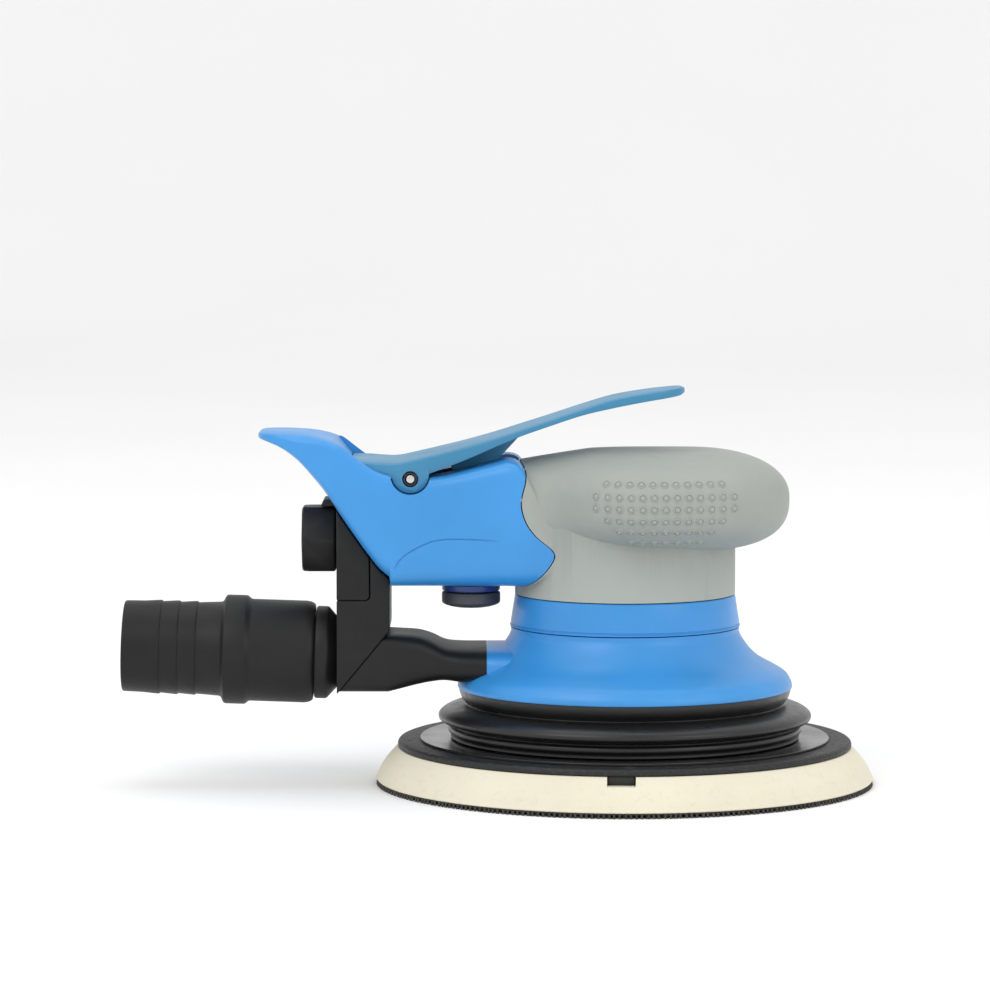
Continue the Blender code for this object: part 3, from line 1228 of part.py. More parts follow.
def main():
    clear_scene()
    mats = {
        "blue": material("blue_composite", FITTINGS_BLUE, 0.42),
        "lever": material("lever_blue", LEVER_BLUE, 0.45),
        "grip": material("grip_rubber", GRIP_GREY, 0.62),
        "black": material("black_plastic", BLACK_PLASTIC, 0.5),
        "rubber": material("black_rubber", RUBBER_BLACK, 0.7),
        "plate": material("pad_plate_black", BLACK_PLASTIC, 0.6),
        "track": material("smooth_black", (0.03, 0.03, 0.032), 0.25),
        "foam": material("cream_foam", CREAM, 0.85),
        "hooks": material("hook_face", (0.05, 0.05, 0.05), 0.9),
        "steel": material("steel", STEEL, 0.3, 1.0),
        "dark_steel": material("dark_steel", DARK_STEEL, 0.4, 1.0),
        "alloy": material("alloy", (0.7, 0.71, 0.72), 0.4, 1.0),
        "brass": material("brass", BRASS, 0.35, 1.0),
        "navy": material("navy_plastic", NAVY, 0.5),
        "grey_plastic": material("grey_plastic", (0.10, 0.10, 0.11), 0.55),
        "felt": material("felt", FELT, 0.95),
        "vane": material("vane_composite", (0.30, 0.18, 0.08), 0.7),
    }
    lever_axis = axis_empty("axis_lever", (PIVOT_X, 0, PIVOT_Z))
    plunger_axis = axis_empty("axis_plunger", (VALVE_X, 0, PIVOT_Z))
    regulator_axis = axis_empty("axis_regulator", (VALVE_X, 0, KNOB_BOTTOM))
    hose_axis = axis_empty("axis_hose", (BLOCK_LEFT, 0, HOSE_Z), (0, HOSE_TILT - pi / 2, 0))
    crank_axis = axis_empty("axis_crank", (0, 0, MOTOR_BOTTOM))
    pad_axis = axis_empty("axis_pad", (0, ECCENTRICITY, 0))

    shapes = make_housing(mats["blue"])
    make_grip(*shapes, mats["grip"])
    make_lever(mats["lever"], lever_axis)
    make_pivot_pin(mats["steel"], mats["black"], lever_axis)
    make_valve(mats, plunger_axis)
    make_regulator(mats, regulator_axis)
    stem_room = make_inlet(mats)
    make_elbow(mats, hose_axis, stem_room)
    make_duct(mats)
    make_cuff(mats, hose_axis)
    make_collar(mats["blue"])
    make_shroud(mats["blue"])
    make_boot(mats["rubber"])
    hub_top = make_pad(mats, pad_axis)
    pocket_low, pocket_top = make_spindle(mats, hub_top, crank_axis, pad_axis)
    motor_top = make_motor(mats, crank_axis)
    make_crank(mats, pocket_low, pocket_top, crank_axis, motor_top)


main()
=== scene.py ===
"""The looks of an air-driven random-orbital sander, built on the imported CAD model's frame.

Sizes are in millimetres in the frame's axes and turned into metres when a mesh is made. z = 0 is the
pad's hook face, the motor's axis is Z, and the handle points along -X.
"""

import json
from math import copysign, cos, pi, radians, sin

import bmesh
import bpy
import numpy as np
from mathutils import Matrix, Vector
from mathutils.bvhtree import BVHTree


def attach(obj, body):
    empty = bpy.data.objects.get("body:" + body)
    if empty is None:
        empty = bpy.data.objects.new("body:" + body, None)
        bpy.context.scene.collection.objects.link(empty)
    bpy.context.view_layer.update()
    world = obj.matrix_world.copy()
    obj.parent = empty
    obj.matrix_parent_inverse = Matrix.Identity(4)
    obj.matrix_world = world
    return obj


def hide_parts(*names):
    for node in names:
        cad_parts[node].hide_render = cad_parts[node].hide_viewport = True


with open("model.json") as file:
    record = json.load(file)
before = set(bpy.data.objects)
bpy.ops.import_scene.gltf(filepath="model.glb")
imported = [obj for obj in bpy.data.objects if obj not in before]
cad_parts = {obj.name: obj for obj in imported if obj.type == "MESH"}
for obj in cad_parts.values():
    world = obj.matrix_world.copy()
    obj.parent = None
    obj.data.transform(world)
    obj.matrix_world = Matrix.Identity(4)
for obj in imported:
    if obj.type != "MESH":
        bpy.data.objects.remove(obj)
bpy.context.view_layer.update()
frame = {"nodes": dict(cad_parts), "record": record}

MM = 0.001
FINE, MEDIUM = 160, 96
rng = np.random.default_rng(7)


# ------------------------------------------------------------------ materials

def linear(*srgb):
    return tuple(((v / 255 + 0.055) / 1.055) ** 2.4 if v > 10 else v / 255 / 12.92 for v in srgb)


class Nodes:
    """A material's node tree, with short calls for the nodes used here."""

    def __init__(self, name):
        self.mat = bpy.data.materials.new(name)
        self.mat.use_nodes = True
        self.tree = self.mat.node_tree
        self.shader = self.tree.nodes["Principled BSDF"]
        self.place = self.tree.nodes.new("ShaderNodeTexCoord").outputs["Object"]

    def add(self, kind, inputs=(), **settings):
        node = self.tree.nodes.new(kind)
        for key, value in settings.items():
            setattr(node, key, value)
        for key, value in dict(inputs).items():
            if isinstance(value, bpy.types.NodeSocket):
                self.tree.links.new(value, node.inputs[key])
            else:
                node.inputs[key].default_value = value
        return node

    def noise(self, scale, detail=3.0, roughness=0.55, stretch=None):
        vector = self.place
        if stretch:
            vector = self.add("ShaderNodeMapping", {"Vector": vector, "Scale": stretch}).outputs[0]
        return self.add(
            "ShaderNodeTexNoise",
            {"Vector": vector, "Scale": scale, "Detail": detail, "Roughness": roughness},
        ).outputs["Fac"]

    def spread(self, value, low, high, start=0.3, end=0.7):
        return self.add(
            "ShaderNodeMapRange",
            {"Value": value, "From Min": start, "From Max": end, "To Min": low, "To Max": high},
        ).outputs[0]

    def blend(self, share, first, second, mode="MIX"):
        node = self.add("ShaderNodeMix", data_type="RGBA", blend_type=mode)
        for key, value in ((0, share), (6, first), (7, second)):
            if isinstance(value, bpy.types.NodeSocket):
                self.tree.links.new(value, node.inputs[key])
            else:
                node.inputs[key].default_value = value if key == 0 else (*value[:3], 1.0)
        return node.outputs[2]

    def edges(self, low=0.52, high=0.62):
        """1 on convex edges."""
        point = self.add("ShaderNodeNewGeometry").outputs["Pointiness"]
        return self.spread(point, 0.0, 1.0, low, high)

    def bump(self, height, strength, distance, normal=None):
        inputs = {"Height": height, "Strength": strength, "Distance": distance}
        if normal:
            inputs["Normal"] = normal
        return self.add("ShaderNodeBump", inputs).outputs["Normal"]

    def link(self, **sockets):
        for name, value in sockets.items():
            socket = self.shader.inputs[name.replace("_", " ")]
            if isinstance(value, bpy.types.NodeSocket):
                self.tree.links.new(value, socket)
            else:
                socket.default_value = value
        return self.mat


def moulded(name, colour, roughness, grain=900.0, depth=0.00004, wear=0.25, mottle=0.10, coat=0.0, gloss=0.5):
    """Moulded plastic: fine spark-eroded grain, faint flow mottling, paler rubbed edges."""
    n = Nodes(name)
    deep = tuple(c * (1 - mottle) for c in colour)
    pale = tuple(min(1.0, c * (1 + mottle * 0.6) + 0.004) for c in colour)
    flow = n.spread(n.noise(22.0, 4.0), 0.0, 1.0)
    base = n.blend(flow, deep, pale)
    rubbed = tuple(min(1.0, c * 1.25 + 0.03) for c in colour)
    scuffs = n.spread(n.noise(160.0, 5.0), 0.0, wear, 0.45, 0.75)
    edge = n.add("ShaderNodeMath", {0: n.edges(), 1: scuffs}, operation="MULTIPLY").outputs[0]
    base = n.blend(edge, base, rubbed)
    fine = n.noise(grain, 2.0)
    rough = n.spread(n.noise(60.0, 5.0), roughness - 0.05, roughness + 0.06)
    return n.link(
        Base_Color=base, Roughness=rough, Coat_Weight=coat, Coat_Roughness=0.25,
        Specular_IOR_Level=gloss, Normal=n.bump(fine, 0.25, depth),
    )


def soft_touch(name, colour, roughness, sheen):
    """Rubber: a matt skin with fine grain, a little dust in it and slightly worn high spots."""
    n = Nodes(name)
    dust = n.spread(n.noise(35.0, 6.0, 0.65), 0.0, 1.0, 0.35, 0.75)
    base = n.blend(dust, tuple(c * 0.93 for c in colour), tuple(min(1, c * 1.06 + 0.003) for c in colour))
    base = n.blend(n.edges(0.5, 0.66), base, tuple(min(1, c * 1.12 + 0.01) for c in colour))
    fine = n.noise(1300.0, 2.0)
    pores = n.noise(260.0, 3.0)
    normal = n.bump(fine, 0.3, 0.00004)
    return n.link(
        Base_Color=base, Roughness=n.spread(pores, roughness - 0.06, roughness + 0.05),
        Sheen_Weight=sheen, Sheen_Roughness=0.5, Normal=n.bump(pores, 0.12, 0.00006, normal),
    )


def metal(name, colour, roughness, stretch=(1.0, 1.0, 30.0), tint=0.12):
    """Machined metal with turning marks and a few darker stains."""
    n = Nodes(name)
    marks = n.noise(220.0, 4.0, 0.6, stretch)
    stain = n.spread(n.noise(40.0, 5.0), 0.0, 1.0, 0.4, 0.8)
    base = n.blend(stain, colour, tuple(c * (1 - tint) for c in colour))
    return n.link(
        Base_Color=base, Metallic=1.0, Roughness=n.spread(marks, roughness - 0.07, roughness + 0.1),
        Normal=n.bump(marks, 0.2, 0.00003),
    )


def foam_skin(name, colour):
    """Moulded foam: fine closed cells with a few larger pits, a little greyed and yellowed."""
    n = Nodes(name)
    cells = n.add("ShaderNodeTexVoronoi", {"Vector": n.place, "Scale": 950.0}).outputs["Distance"]
    pits = n.spread(n.noise(420.0, 2.0), 0.0, 1.0, 0.30, 0.42)
    tone = n.spread(n.noise(28.0, 6.0, 0.65), 0.0, 1.0, 0.35, 0.7)
    base = n.blend(tone, tuple(c * 0.94 for c in colour), colour)
    base = n.blend(n.spread(pits, 0.3, 0.0, 0.0, 1.0), base, tuple(c * 0.82 for c in colour))
    normal = n.bump(cells, 0.35, 0.0001)
    return n.link(
        Base_Color=base, Roughness=n.spread(cells, 0.92, 0.78, 0.0, 0.6), Subsurface_Weight=0.12,
        Subsurface_Radius=(0.004, 0.003, 0.002), Subsurface_Scale=0.5, Specular_IOR_Level=0.25,
        Normal=n.bump(pits, 0.35, 0.00012, normal),
    )


def fibres(name, colour, scale, roughness=0.95):
    """Felt or hook pile: short tangled fibres."""
    n = Nodes(name)
    pile = n.noise(scale, 5.0, 0.7, (1.0, 1.0, 0.4))
    clumps = n.noise(scale * 0.12, 3.0)
    dark, pale = tuple(c * 0.6 for c in colour), tuple(min(1, c * 1.3) for c in colour)
    base = n.blend(n.spread(pile, 0.0, 1.0), dark, pale)
    base = n.blend(n.spread(clumps, 0.0, 0.4), base, tuple(c * 0.7 for c in colour))
    return n.link(
        Base_Color=base, Roughness=n.spread(clumps, roughness - 0.08, roughness), Sheen_Weight=0.2,
        Normal=n.bump(pile, 0.7, 0.0003),
    )


def textured_plate(name, colour):
    """Fibre-filled plastic with a coarse leathery grain."""
    n = Nodes(name)
    cells = n.add("ShaderNodeTexVoronoi", {"Vector": n.place, "Scale": 620.0}).outputs["Distance"]
    fleck = n.spread(n.noise(700.0, 2.0), 0.0, 1.0, 0.52, 0.72)
    base = n.blend(fleck, colour, tuple(c * 2.2 + 0.01 for c in colour))
    base = n.blend(n.edges(), base, tuple(c * 2.0 + 0.01 for c in colour))
    return n.link(
        Base_Color=base, Roughness=n.spread(fleck, 0.5, 0.68, 0.0, 1.0), Specular_IOR_Level=0.35,
        Normal=n.bump(cells, 0.6, 0.0002),
    )


BLUE = linear(50, 142, 212)
LOOKS = {
    "blue_composite": moulded("blue_composite", BLUE, 0.40, coat=0.15),
    "lever_blue": moulded("lever_blue", linear(52, 130, 170), 0.45, coat=0.1),
    "grip_rubber": soft_touch("grip_rubber", linear(154, 159, 153), 0.62, 0.05),
    "black_plastic": moulded("black_plastic", linear(24, 24, 24), 0.46, mottle=0.2, wear=0.3, gloss=0.26),
    "black_rubber": soft_touch("black_rubber", linear(20, 20, 21), 0.33, 0.0),
    "pad_plate_black": textured_plate("pad_plate_black", linear(29, 29, 30)),
    "smooth_black": moulded("smooth_black", linear(26, 26, 28), 0.2, depth=0.00001, wear=0.1),
    "cream_foam": foam_skin("cream_foam", linear(227, 221, 200)),
    "hook_face": fibres("hook_face", linear(60, 58, 54), 900.0),
    "steel": metal("steel", (0.62, 0.62, 0.64), 0.3),
    "dark_steel": metal("dark_steel", (0.25, 0.25, 0.27), 0.38),
    "alloy": metal("alloy", (0.70, 0.71, 0.72), 0.4),
    "brass": metal("brass", (0.75, 0.55, 0.25), 0.32),
    # The regulator collar's navy is partly its own dark blue and partly painted shade of the gap between the
    # knob and the handle's underside.
    "navy_plastic": moulded("navy_plastic", linear(38, 66, 130), 0.42, coat=0.2),
    "grey_plastic": moulded("grey_plastic", linear(72, 74, 78), 0.5),
    "felt": fibres("felt", linear(190, 188, 178), 500.0),
    "vane_composite": moulded("vane_composite", (0.30, 0.18, 0.08), 0.6, mottle=0.25),
}
for sub in frame["record"]["subparts"]:
    obj = frame["nodes"][sub["node"]]
    obj.data.materials.clear()
    obj.data.materials.append(LOOKS[sub["material_slot"]])


# ------------------------------------------------------------------ mesh helpers

def new_object(name, mesh):
    obj = bpy.data.objects.new(name, mesh)
    bpy.context.scene.collection.objects.link(obj)
    return obj


def from_data(name, points, faces, matrix=None):
    """An object from points in millimetres."""
    mesh = bpy.data.meshes.new(name)
    mesh.from_pydata([tuple(p) for p in points], [], faces)
    bm = bmesh.new()
    bm.from_mesh(mesh)
    if matrix:
        bmesh.ops.transform(bm, matrix=matrix, verts=bm.verts)
    bmesh.ops.scale(bm, vec=(MM, MM, MM), verts=bm.verts)
    bmesh.ops.recalc_face_normals(bm, faces=bm.faces)
    bm.to_mesh(mesh)
    bm.free()
    return new_object(name, mesh)


def turned(name, profile, steps=FINE, matrix=None):
    """A solid of revolution about Z from a closed (radius, height) outline."""
    points, faces, rings = [], [], []
    for r, z in profile:
        if r <= 0.0:
            rings.append([len(points)] * steps)
            points.append((0.0, 0.0, z))
            continue
        rings.append(list(range(len(points), len(points) + steps)))
        points += [(r * cos(2 * pi * i / steps), r * sin(2 * pi * i / steps), z) for i in range(steps)]
    for here, beyond in zip(rings, rings[1:] + rings[:1]):
        for i in range(steps):
            j = (i + 1) % steps
            corners = list(dict.fromkeys((here[i], here[j], beyond[j], beyond[i])))
            if len(corners) > 2:
                faces.append(corners)
    return from_data(name, points, faces, matrix)


def ring(name, inner, outer, low, high, steps=MEDIUM, chamfer=0.0, matrix=None):
    c = chamfer
    outside = [(outer - c, high), (outer, high - c), (outer, low + c), (outer - c, low)]
    if not c:
        outside = [(outer, high), (outer, low)]
    inside = [(inner, low), (inner, high)] if inner else [(0.0, low), (0.0, high)]
    return turned(name, outside + inside, steps, matrix)


def along(start, end):
    """The matrix of a Z axis from start towards end, with its origin at start."""
    start, end = Vector(start), Vector(end)
    return Matrix.Translation(start) @ (end - start).to_track_quat("Z", "Y").to_matrix().to_4x4()


def rod(name, radius, start, end, steps=48, end_radius=None):
    length = (Vector(end) - Vector(start)).length
    far = radius if end_radius is None else end_radius
    return turned(name, [(0.0, length), (far, length), (radius, 0.0), (0.0, 0.0)], steps, along(start, end))


def loft(name, sections):
    count = len(sections[0])
    points = [point for section in sections for point in section]
    faces = [list(range(count)), list(range(len(points) - count, len(points)))]
    for k in range(len(sections) - 1):
        for i in range(count):
            j = (i + 1) % count
            a, b = k * count, (k + 1) * count
            faces.append([a + i, a + j, b + j, b + i])
    return from_data(name, points, faces)


def plate(name, outline, low, high):
    """A flat outline in X and Z, thick along Y."""
    count = len(outline)
    points = [(x, low, z) for x, z in outline] + [(x, high, z) for x, z in outline]
    faces = [list(range(count)), list(range(count, 2 * count))[::-1]]
    faces += [[i, (i + 1) % count, (i + 1) % count + count, i + count] for i in range(count)]
    return from_data(name, points, faces)


def block(name, low, high):
    (x0, y0, z0), (x1, y1, z1) = low, high
    return plate(name, [(x0, z0), (x1, z0), (x1, z1), (x0, z1)], y0, y1)


def smooth_line(points, per=4, closed=False):
    """A Catmull-Rom line through the points."""
    pts = [np.array(p, float) for p in points]
    ends = (pts[-1:], pts[:2]) if closed else ([2 * pts[0] - pts[1]], [2 * pts[-1] - pts[-2]])
    pts = ends[0] + pts + ends[1]
    found = []
    for a, b, c, d in zip(pts, pts[1:], pts[2:], pts[3:]):
        for t in np.arange(per) / per:
            found.append(0.5 * (2 * b + (c - a) * t + (2 * a - 5 * b + 4 * c - d) * t**2
                                + (3 * b - a - 3 * c + d) * t**3))
    if not closed:
        found.append(pts[-2])
    return [tuple(float(v) for v in p) for p in found]


def bake(obj):
    """Replaces the object's mesh by its evaluated one and drops its modifiers."""
    graph = bpy.context.evaluated_depsgraph_get()
    mesh = bpy.data.meshes.new_from_object(obj.evaluated_get(graph))
    obj.modifiers.clear()
    obj.data = mesh
    return obj


def boolean(obj, operation, *others):
    for other in others:
        modifier = obj.modifiers.new(operation.lower(), "BOOLEAN")
        modifier.operation = operation
        modifier.solver = "EXACT"
        modifier.object = other
    bake(obj)
    for other in others:
        if other.name.startswith("cut_"):
            bpy.data.objects.remove(other, do_unlink=True)
    return obj


def rounded(obj, width, segments=3, angle=30):
    modifier = obj.modifiers.new("round", "BEVEL")
    modifier.width = width * MM
    modifier.segments = segments
    modifier.limit_method = "ANGLE"
    modifier.angle_limit = radians(angle)
    modifier.harden_normals = False
    return bake(obj)


def copy_of(obj, name):
    return new_object(name, obj.data.copy())


def show(obj, body, look, *nodes, sharp=35):
    """Finishes a piece: its material, shading, the body it moves with and the CAD nodes it stands for."""
    obj.data.materials.clear()
    obj.data.materials.append(LOOKS[look])
    obj.data.shade_smooth()
    obj.data.set_sharp_from_angle(angle=radians(sharp))
    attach(obj, body)
    if nodes:
        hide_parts(*nodes)
    return obj


def section(x, top, bottom, half_width, squareness, points=64, middle=None, upper=None):
    """A rounded cross-section that grows squarer with squareness, its upper half by a value of its own."""
    middle = (top + bottom) / 2 if middle is None else middle
    found = []
    for i in range(points):
        angle = 2 * pi * (i + 0.5) / points
        c, s = cos(angle), sin(angle)
        power = 2 / (upper if upper and s > 0 else squareness)
        height = top - middle if s > 0 else middle - bottom
        found.append((
            x, copysign(half_width * abs(c) ** power, c), middle + copysign(height * abs(s) ** power, s),
        ))
    return found


# ------------------------------------------------------------------ handle, head, grip

HANDLE_WIDTH = 45.0
HANDLE_BOTTOM = 61.0
HANDLE = [  # x, top, bottom, share of the half-width
    (-109.8, 106.2, 105.1, 0.28), (-108.9, 106.8, 104.6, 0.46), (-106.3, 107.0, 103.7, 0.60),
    (-102.3, 107.0, 101.9, 0.70), (-97.7, 106.8, 98.5, 0.78), (-93.6, 106.2, 94.0, 0.84),
    (-89.8, 105.3, 89.4, 0.89), (-87.0, 104.4, 85.2, 0.91), (-85.2, 104.0, 82.4, 0.92),
    (-81.4, 101.1, 76.8, 0.93), (-79.3, 99.5, 73.8, 0.935), (-76.4, 97.5, 69.8, 0.94),
    (-73.6, 96.1, 66.3, 0.945), (-70.6, 95.1, 63.7, 0.95),
]
HANDLE_REST = [
    (-70.1, 95.0, HANDLE_BOTTOM, 0.95), (-64.0, 94.2, HANDLE_BOTTOM, 0.955),
    (-58.6, 94.0, HANDLE_BOTTOM, 0.96), (-51.0, 95.2, HANDLE_BOTTOM, 0.97),
    (-38.9, 98.2, HANDLE_BOTTOM, 1.0), (-34.6, 99.0, HANDLE_BOTTOM, 1.03),
    (-30.0, 95.8, HANDLE_BOTTOM, 1.06), (-20.0, 78.0, 63.0, 1.10),
]
HEAD_REACH, HEAD_HALF, HEAD_MIDDLE, HEAD_BOTTOM = 49.2, 45.0, 86.6, 71.3
HEAD_CENTRE, HEAD_FLAT_END = 5.0, 19.0
HEAD_TOP = [(-44.0, 95.0), (-31.4, 97.9), (-14.0, 100.5), (-6.0, 101.1), (HEAD_FLAT_END, 101.2)]
NECK_RADIUS, NECK_LOW, NECK_HIGH = 33.1, 57.9, 80.0
SEAM = [
    (-34.6, 99.6), (-32.6, 98.4), (-30.9, 97.0), (-30.1, 95.0), (-30.4, 92.0),
    (-31.2, 89.0), (-31.5, 85.9), (-30.8, 82.6), (-29.4, 79.6), (-27.1, 76.7), (-24.7, 74.7),
    (-22.6, 73.0), (-21.6, 71.2), (-22.3, 69.1), (-24.1, 66.5), (-26.5, 64.0), (-28.9, 62.2),
    (-31.2, 61.1), (-33.6, 60.4),
]


def follow(points, x):
    for (x0, v0), (x1, v1) in zip(points, points[1:]):
        if x <= x1:
            return v0 + (v1 - v0) * max(0.0, (x - x0) / (x1 - x0))
    return points[-1][1]


def superellipse(share, power):
    return max(0.0, 1.0 - abs(share) ** power) ** (1.0 / power)


def handle_loft(name):
    stations = smooth_line(HANDLE, 3) + smooth_line(HANDLE_REST, 3)
    half = HANDLE_WIDTH / 2
    return loft(name, [
        section(x, min(top, 107.0), max(low, HANDLE_BOTTOM), half * share, 6.0, points=96,
                upper=min(10.0, max(4.0, 10.0 + (x + 90.0) * 0.8)))
        for x, top, low, share in stations
    ])


def head_station(x):
    top, bottom = follow(HEAD_TOP_LINE, x), HEAD_BOTTOM
    if x > HEAD_FLAT_END:
        share = (x - HEAD_FLAT_END) / (HEAD_REACH - HEAD_FLAT_END)
        top = HEAD_MIDDLE + (top - HEAD_MIDDLE) * superellipse(share, 2.3)
        bottom = HEAD_MIDDLE - (HEAD_MIDDLE - HEAD_BOTTOM) * superellipse(share, 2.6)
    if x > HEAD_CENTRE:
        share = (x - HEAD_CENTRE) / (HEAD_REACH - HEAD_CENTRE)
        return top, bottom, HEAD_HALF * superellipse(share, 2.2)
    share = min(1.0, (HEAD_CENTRE - x) / (HEAD_CENTRE + 34.0))
    narrow = HANDLE_WIDTH / 2 - 1.0
    return top, bottom, narrow + (HEAD_HALF - narrow) * (1 + cos(pi * share)) / 2


HEAD_TOP_LINE = smooth_line(HEAD_TOP, 6)


def head_loft(name):
    flat = list(np.linspace(-40.0, HEAD_FLAT_END, 34))
    reach = HEAD_REACH - HEAD_FLAT_END
    curved = [HEAD_FLAT_END + reach * sin(radians(a)) for a in np.linspace(4, 88.5, 30)]
    return loft(name, [section(x, *head_station(x), 2.5, 96, HEAD_MIDDLE) for x in flat + curved])


def seam_line(shift):
    line = smooth_line(SEAM, 3)
    return [(line[0][0] + shift, 200.0)] + [(x + shift, z) for x, z in line] + [(line[-1][0] + shift, 0.0)]


def handle_side(name, shift):
    return plate(name, seam_line(shift) + [(-200.0, 0.0), (-200.0, 200.0)], -100.0, 100.0)


PIVOT = Vector((-64.2, 0.0, 93.4))
EAR_RADIUS, EAR_RISE, EAR_TOP = 5.5, 1.4, 96.4
LEVER_HALF, FLANGE = 18.4, 2.1


PANEL_LINE = [
    (-71.3, 62.0), (-69.8, 65.1), (-67.1, 69.8), (-63.0, 72.8), (-57.8, 75.1), (-53.1, 75.8), (-46.5, 75.8),
    (-39.1, 75.4), (-30.3, 74.8), (-24.0, 74.4),
]


def panel_line(name, side):
    """The cutter of the fine line low on the handle's side."""
    shares = [(station[0], station[3]) for station in HANDLE + HANDLE_REST]
    line = smooth_line(PANEL_LINE, 4)
    sections = []
    for k, (x, z) in enumerate(line):
        (x0, z0), (x1, z1) = line[max(0, k - 1)], line[min(len(line) - 1, k + 1)]
        across = Vector((z0 - z1, x1 - x0)).normalized() * 0.22
        fade = min(1.0, max(0.0, (-34.0 - x) / 10.0))
        depth = side * (HANDLE_WIDTH / 2 * follow(shares, x) + 0.05 - 0.4 * fade)
        sections.append([
            (x + across.x, depth, z + across.y), (x - across.x, depth, z - across.y),
            (x - across.x, side * 40.0, z - across.y), (x + across.x, side * 40.0, z + across.y),
        ])
    return loft(name, sections)


def make_housing():
    housing = handle_loft("housing_shell")
    neck = ring("cut_neck", 0.0, NECK_RADIUS, NECK_LOW, NECK_HIGH, FINE)
    boolean(housing, "UNION", head_loft("cut_head"), neck)
    boolean(housing, "INTERSECT", handle_side("cut_side", 0.0))
    case = turned("cut_case", [(0.0, 96.5), (24.2, 96.5), (29.7, 91.0), (29.7, 48.1), (0.0, 48.1)], FINE)
    boolean(housing, "UNION", case)
    slot = [(-60.0, 200.0), (-60.0, 87.0), (-35.2, 87.0), (-35.2, 95.4), (-32.0, 95.4), (-32.0, 200.0)]
    bay = [(-58.6, 200.0), (-58.6, 93.0), (-82.4, 93.0), (-82.4, 98.7), (-89.7, 107.5), (-89.7, 200.0)]
    bay_half = LEVER_HALF + 0.4
    cuts = [
        ring("cut_cavity", 0.0, 26.2, 0.0, 90.0, FINE),
        rod("cut_valve", 6.5, (-46.3, 0, 56.0), (-46.3, 0, 88.0)),
        plate("cut_slot", slot, -6.6, 6.6),
        plate("cut_bay", bay, -bay_half, bay_half),
        rod("cut_inlet", 8.1, (-200.0, 0, 74.3), (-64.0, 0, 74.3)),
        rod("cut_pin", 1.7, (PIVOT.x, -30, PIVOT.z), (PIVOT.x, 30, PIVOT.z)),
        block("cut_tongue", (-92.2, -8.3, 80.3), (-84.5, 8.3, 86.6)),
    ]
    for side in (-1, 1):
        inner, up = side * (LEVER_HALF - FLANGE - 0.4), PIVOT.z + EAR_RISE
        start, end = (PIVOT.x, inner, up), (PIVOT.x, side * 30, up)
        cuts.append(rod(f"cut_ear{side}", EAR_RADIUS + 0.4, start, end, 72))
        cuts.append(rod(f"cut_exhaust{side}", 2.6, (-20, side * 10.6, 66), (-80, side * 10.6, 66)))
        cuts.append(panel_line(f"cut_panel_line{side}", side))
    boolean(housing, "DIFFERENCE", *cuts)
    return show(housing, "root", "blue_composite", "housing")


def make_grip():
    grip = handle_loft("grip_skin")
    neck = ring("cut_neck", 0.0, NECK_RADIUS, NECK_LOW, NECK_HIGH, FINE)
    boolean(grip, "UNION", head_loft("cut_head"), neck)
    case = turned("cut_case", [(0.0, 96.8), (24.3, 96.8), (30.0, 91.2), (30.0, 45.0), (0.0, 45.0)], FINE)
    boolean(grip, "DIFFERENCE", handle_side("cut_side", 0.35), case)
    return show(grip, "root", "grip_rubber", "grip_cover")


DIMPLES = [  # height of the row, its first x and its count
    (93.5, -6.5, 11), (89.8, -9.5, 13), (86.4, -9.5, 13), (82.9, -6.2, 11), (79.6, -2.8, 9), (76.2, 0.8, 7),
]
DIMPLE_PITCH = 3.36


def make_dimples(grip):
    """Low domed studs with a ring round each, in rows on both sides of the grip."""
    tree = BVHTree.FromPolygons(
        [v.co / MM for v in grip.data.vertices], [list(p.vertices) for p in grip.data.polygons],
    )
    profile = [
        (0.0, 0.50), (0.34, 0.48), (0.62, 0.36), (0.76, 0.12), (0.88, 0.10), (0.97, 0.32), (1.10, 0.34),
        (1.20, 0.18), (1.25, -0.05), (1.25, -0.35), (0.0, -0.35),
    ]
    for side, name in ((-1, "grip_studs_front"), (1, "grip_studs_rear")):
        studs = []
        for z, start, count in DIMPLES:
            for k in range(count):
                x = start + DIMPLE_PITCH * k
                point, normal, _, _ = tree.ray_cast(Vector((x, side * 60.0, z)), Vector((0, -side, 0)))
                turn = normal.to_track_quat("Z", "Y").to_matrix().to_4x4()
                studs.append(turned("stud", profile, 20, Matrix.Translation(point) @ turn))
        mesh = bmesh.new()
        for stud in studs:
            mesh.from_mesh(stud.data)
            bpy.data.objects.remove(stud, do_unlink=True)
        data = bpy.data.meshes.new(name)
        mesh.to_mesh(data)
        mesh.free()
        show(new_object(name, data), "root", "grip_rubber", sharp=50)


# ------------------------------------------------------------------ lever

LEVER = [  # x, top, bottom, share of the half-width
    (-81.9, 98.9, 96.6, 1.0), (-79.2, 98.9, 95.0, 1.0), (-76.4, 98.8, 94.1, 1.0), (-72.6, 98.5, 93.6, 1.0),
    (-68.0, 98.5, 93.6, 1.0), (-61.4, 99.9, 94.2, 0.99), (-52.2, 102.1, 97.4, 0.96),
    (-45.6, 103.8, 100.0, 0.94), (-38.7, 105.8, 103.0, 0.91), (-31.5, 108.1, 105.9, 0.87),
    (-22.8, 110.9, 108.9, 0.83), (-13.2, 114.1, 112.0, 0.78), (-3.6, 117.0, 114.2, 0.73),
    (6.0, 118.7, 116.0, 0.67), (12.0, 119.5, 116.9, 0.56), (16.0, 119.9, 117.6, 0.38),
    (17.6, 119.6, 118.4, 0.18),
]
LEVER_PLATE = 2.2
PUSHER = [
    (-52.4, 101.0), (-52.4, 96.4), (-50.4, 93.4), (-39.4, 93.4), (-38.4, 95.0), (-38.4, 98.2),
    (-32.1, 105.0), (-32.3, 106.2), (-36.0, 105.4),
]


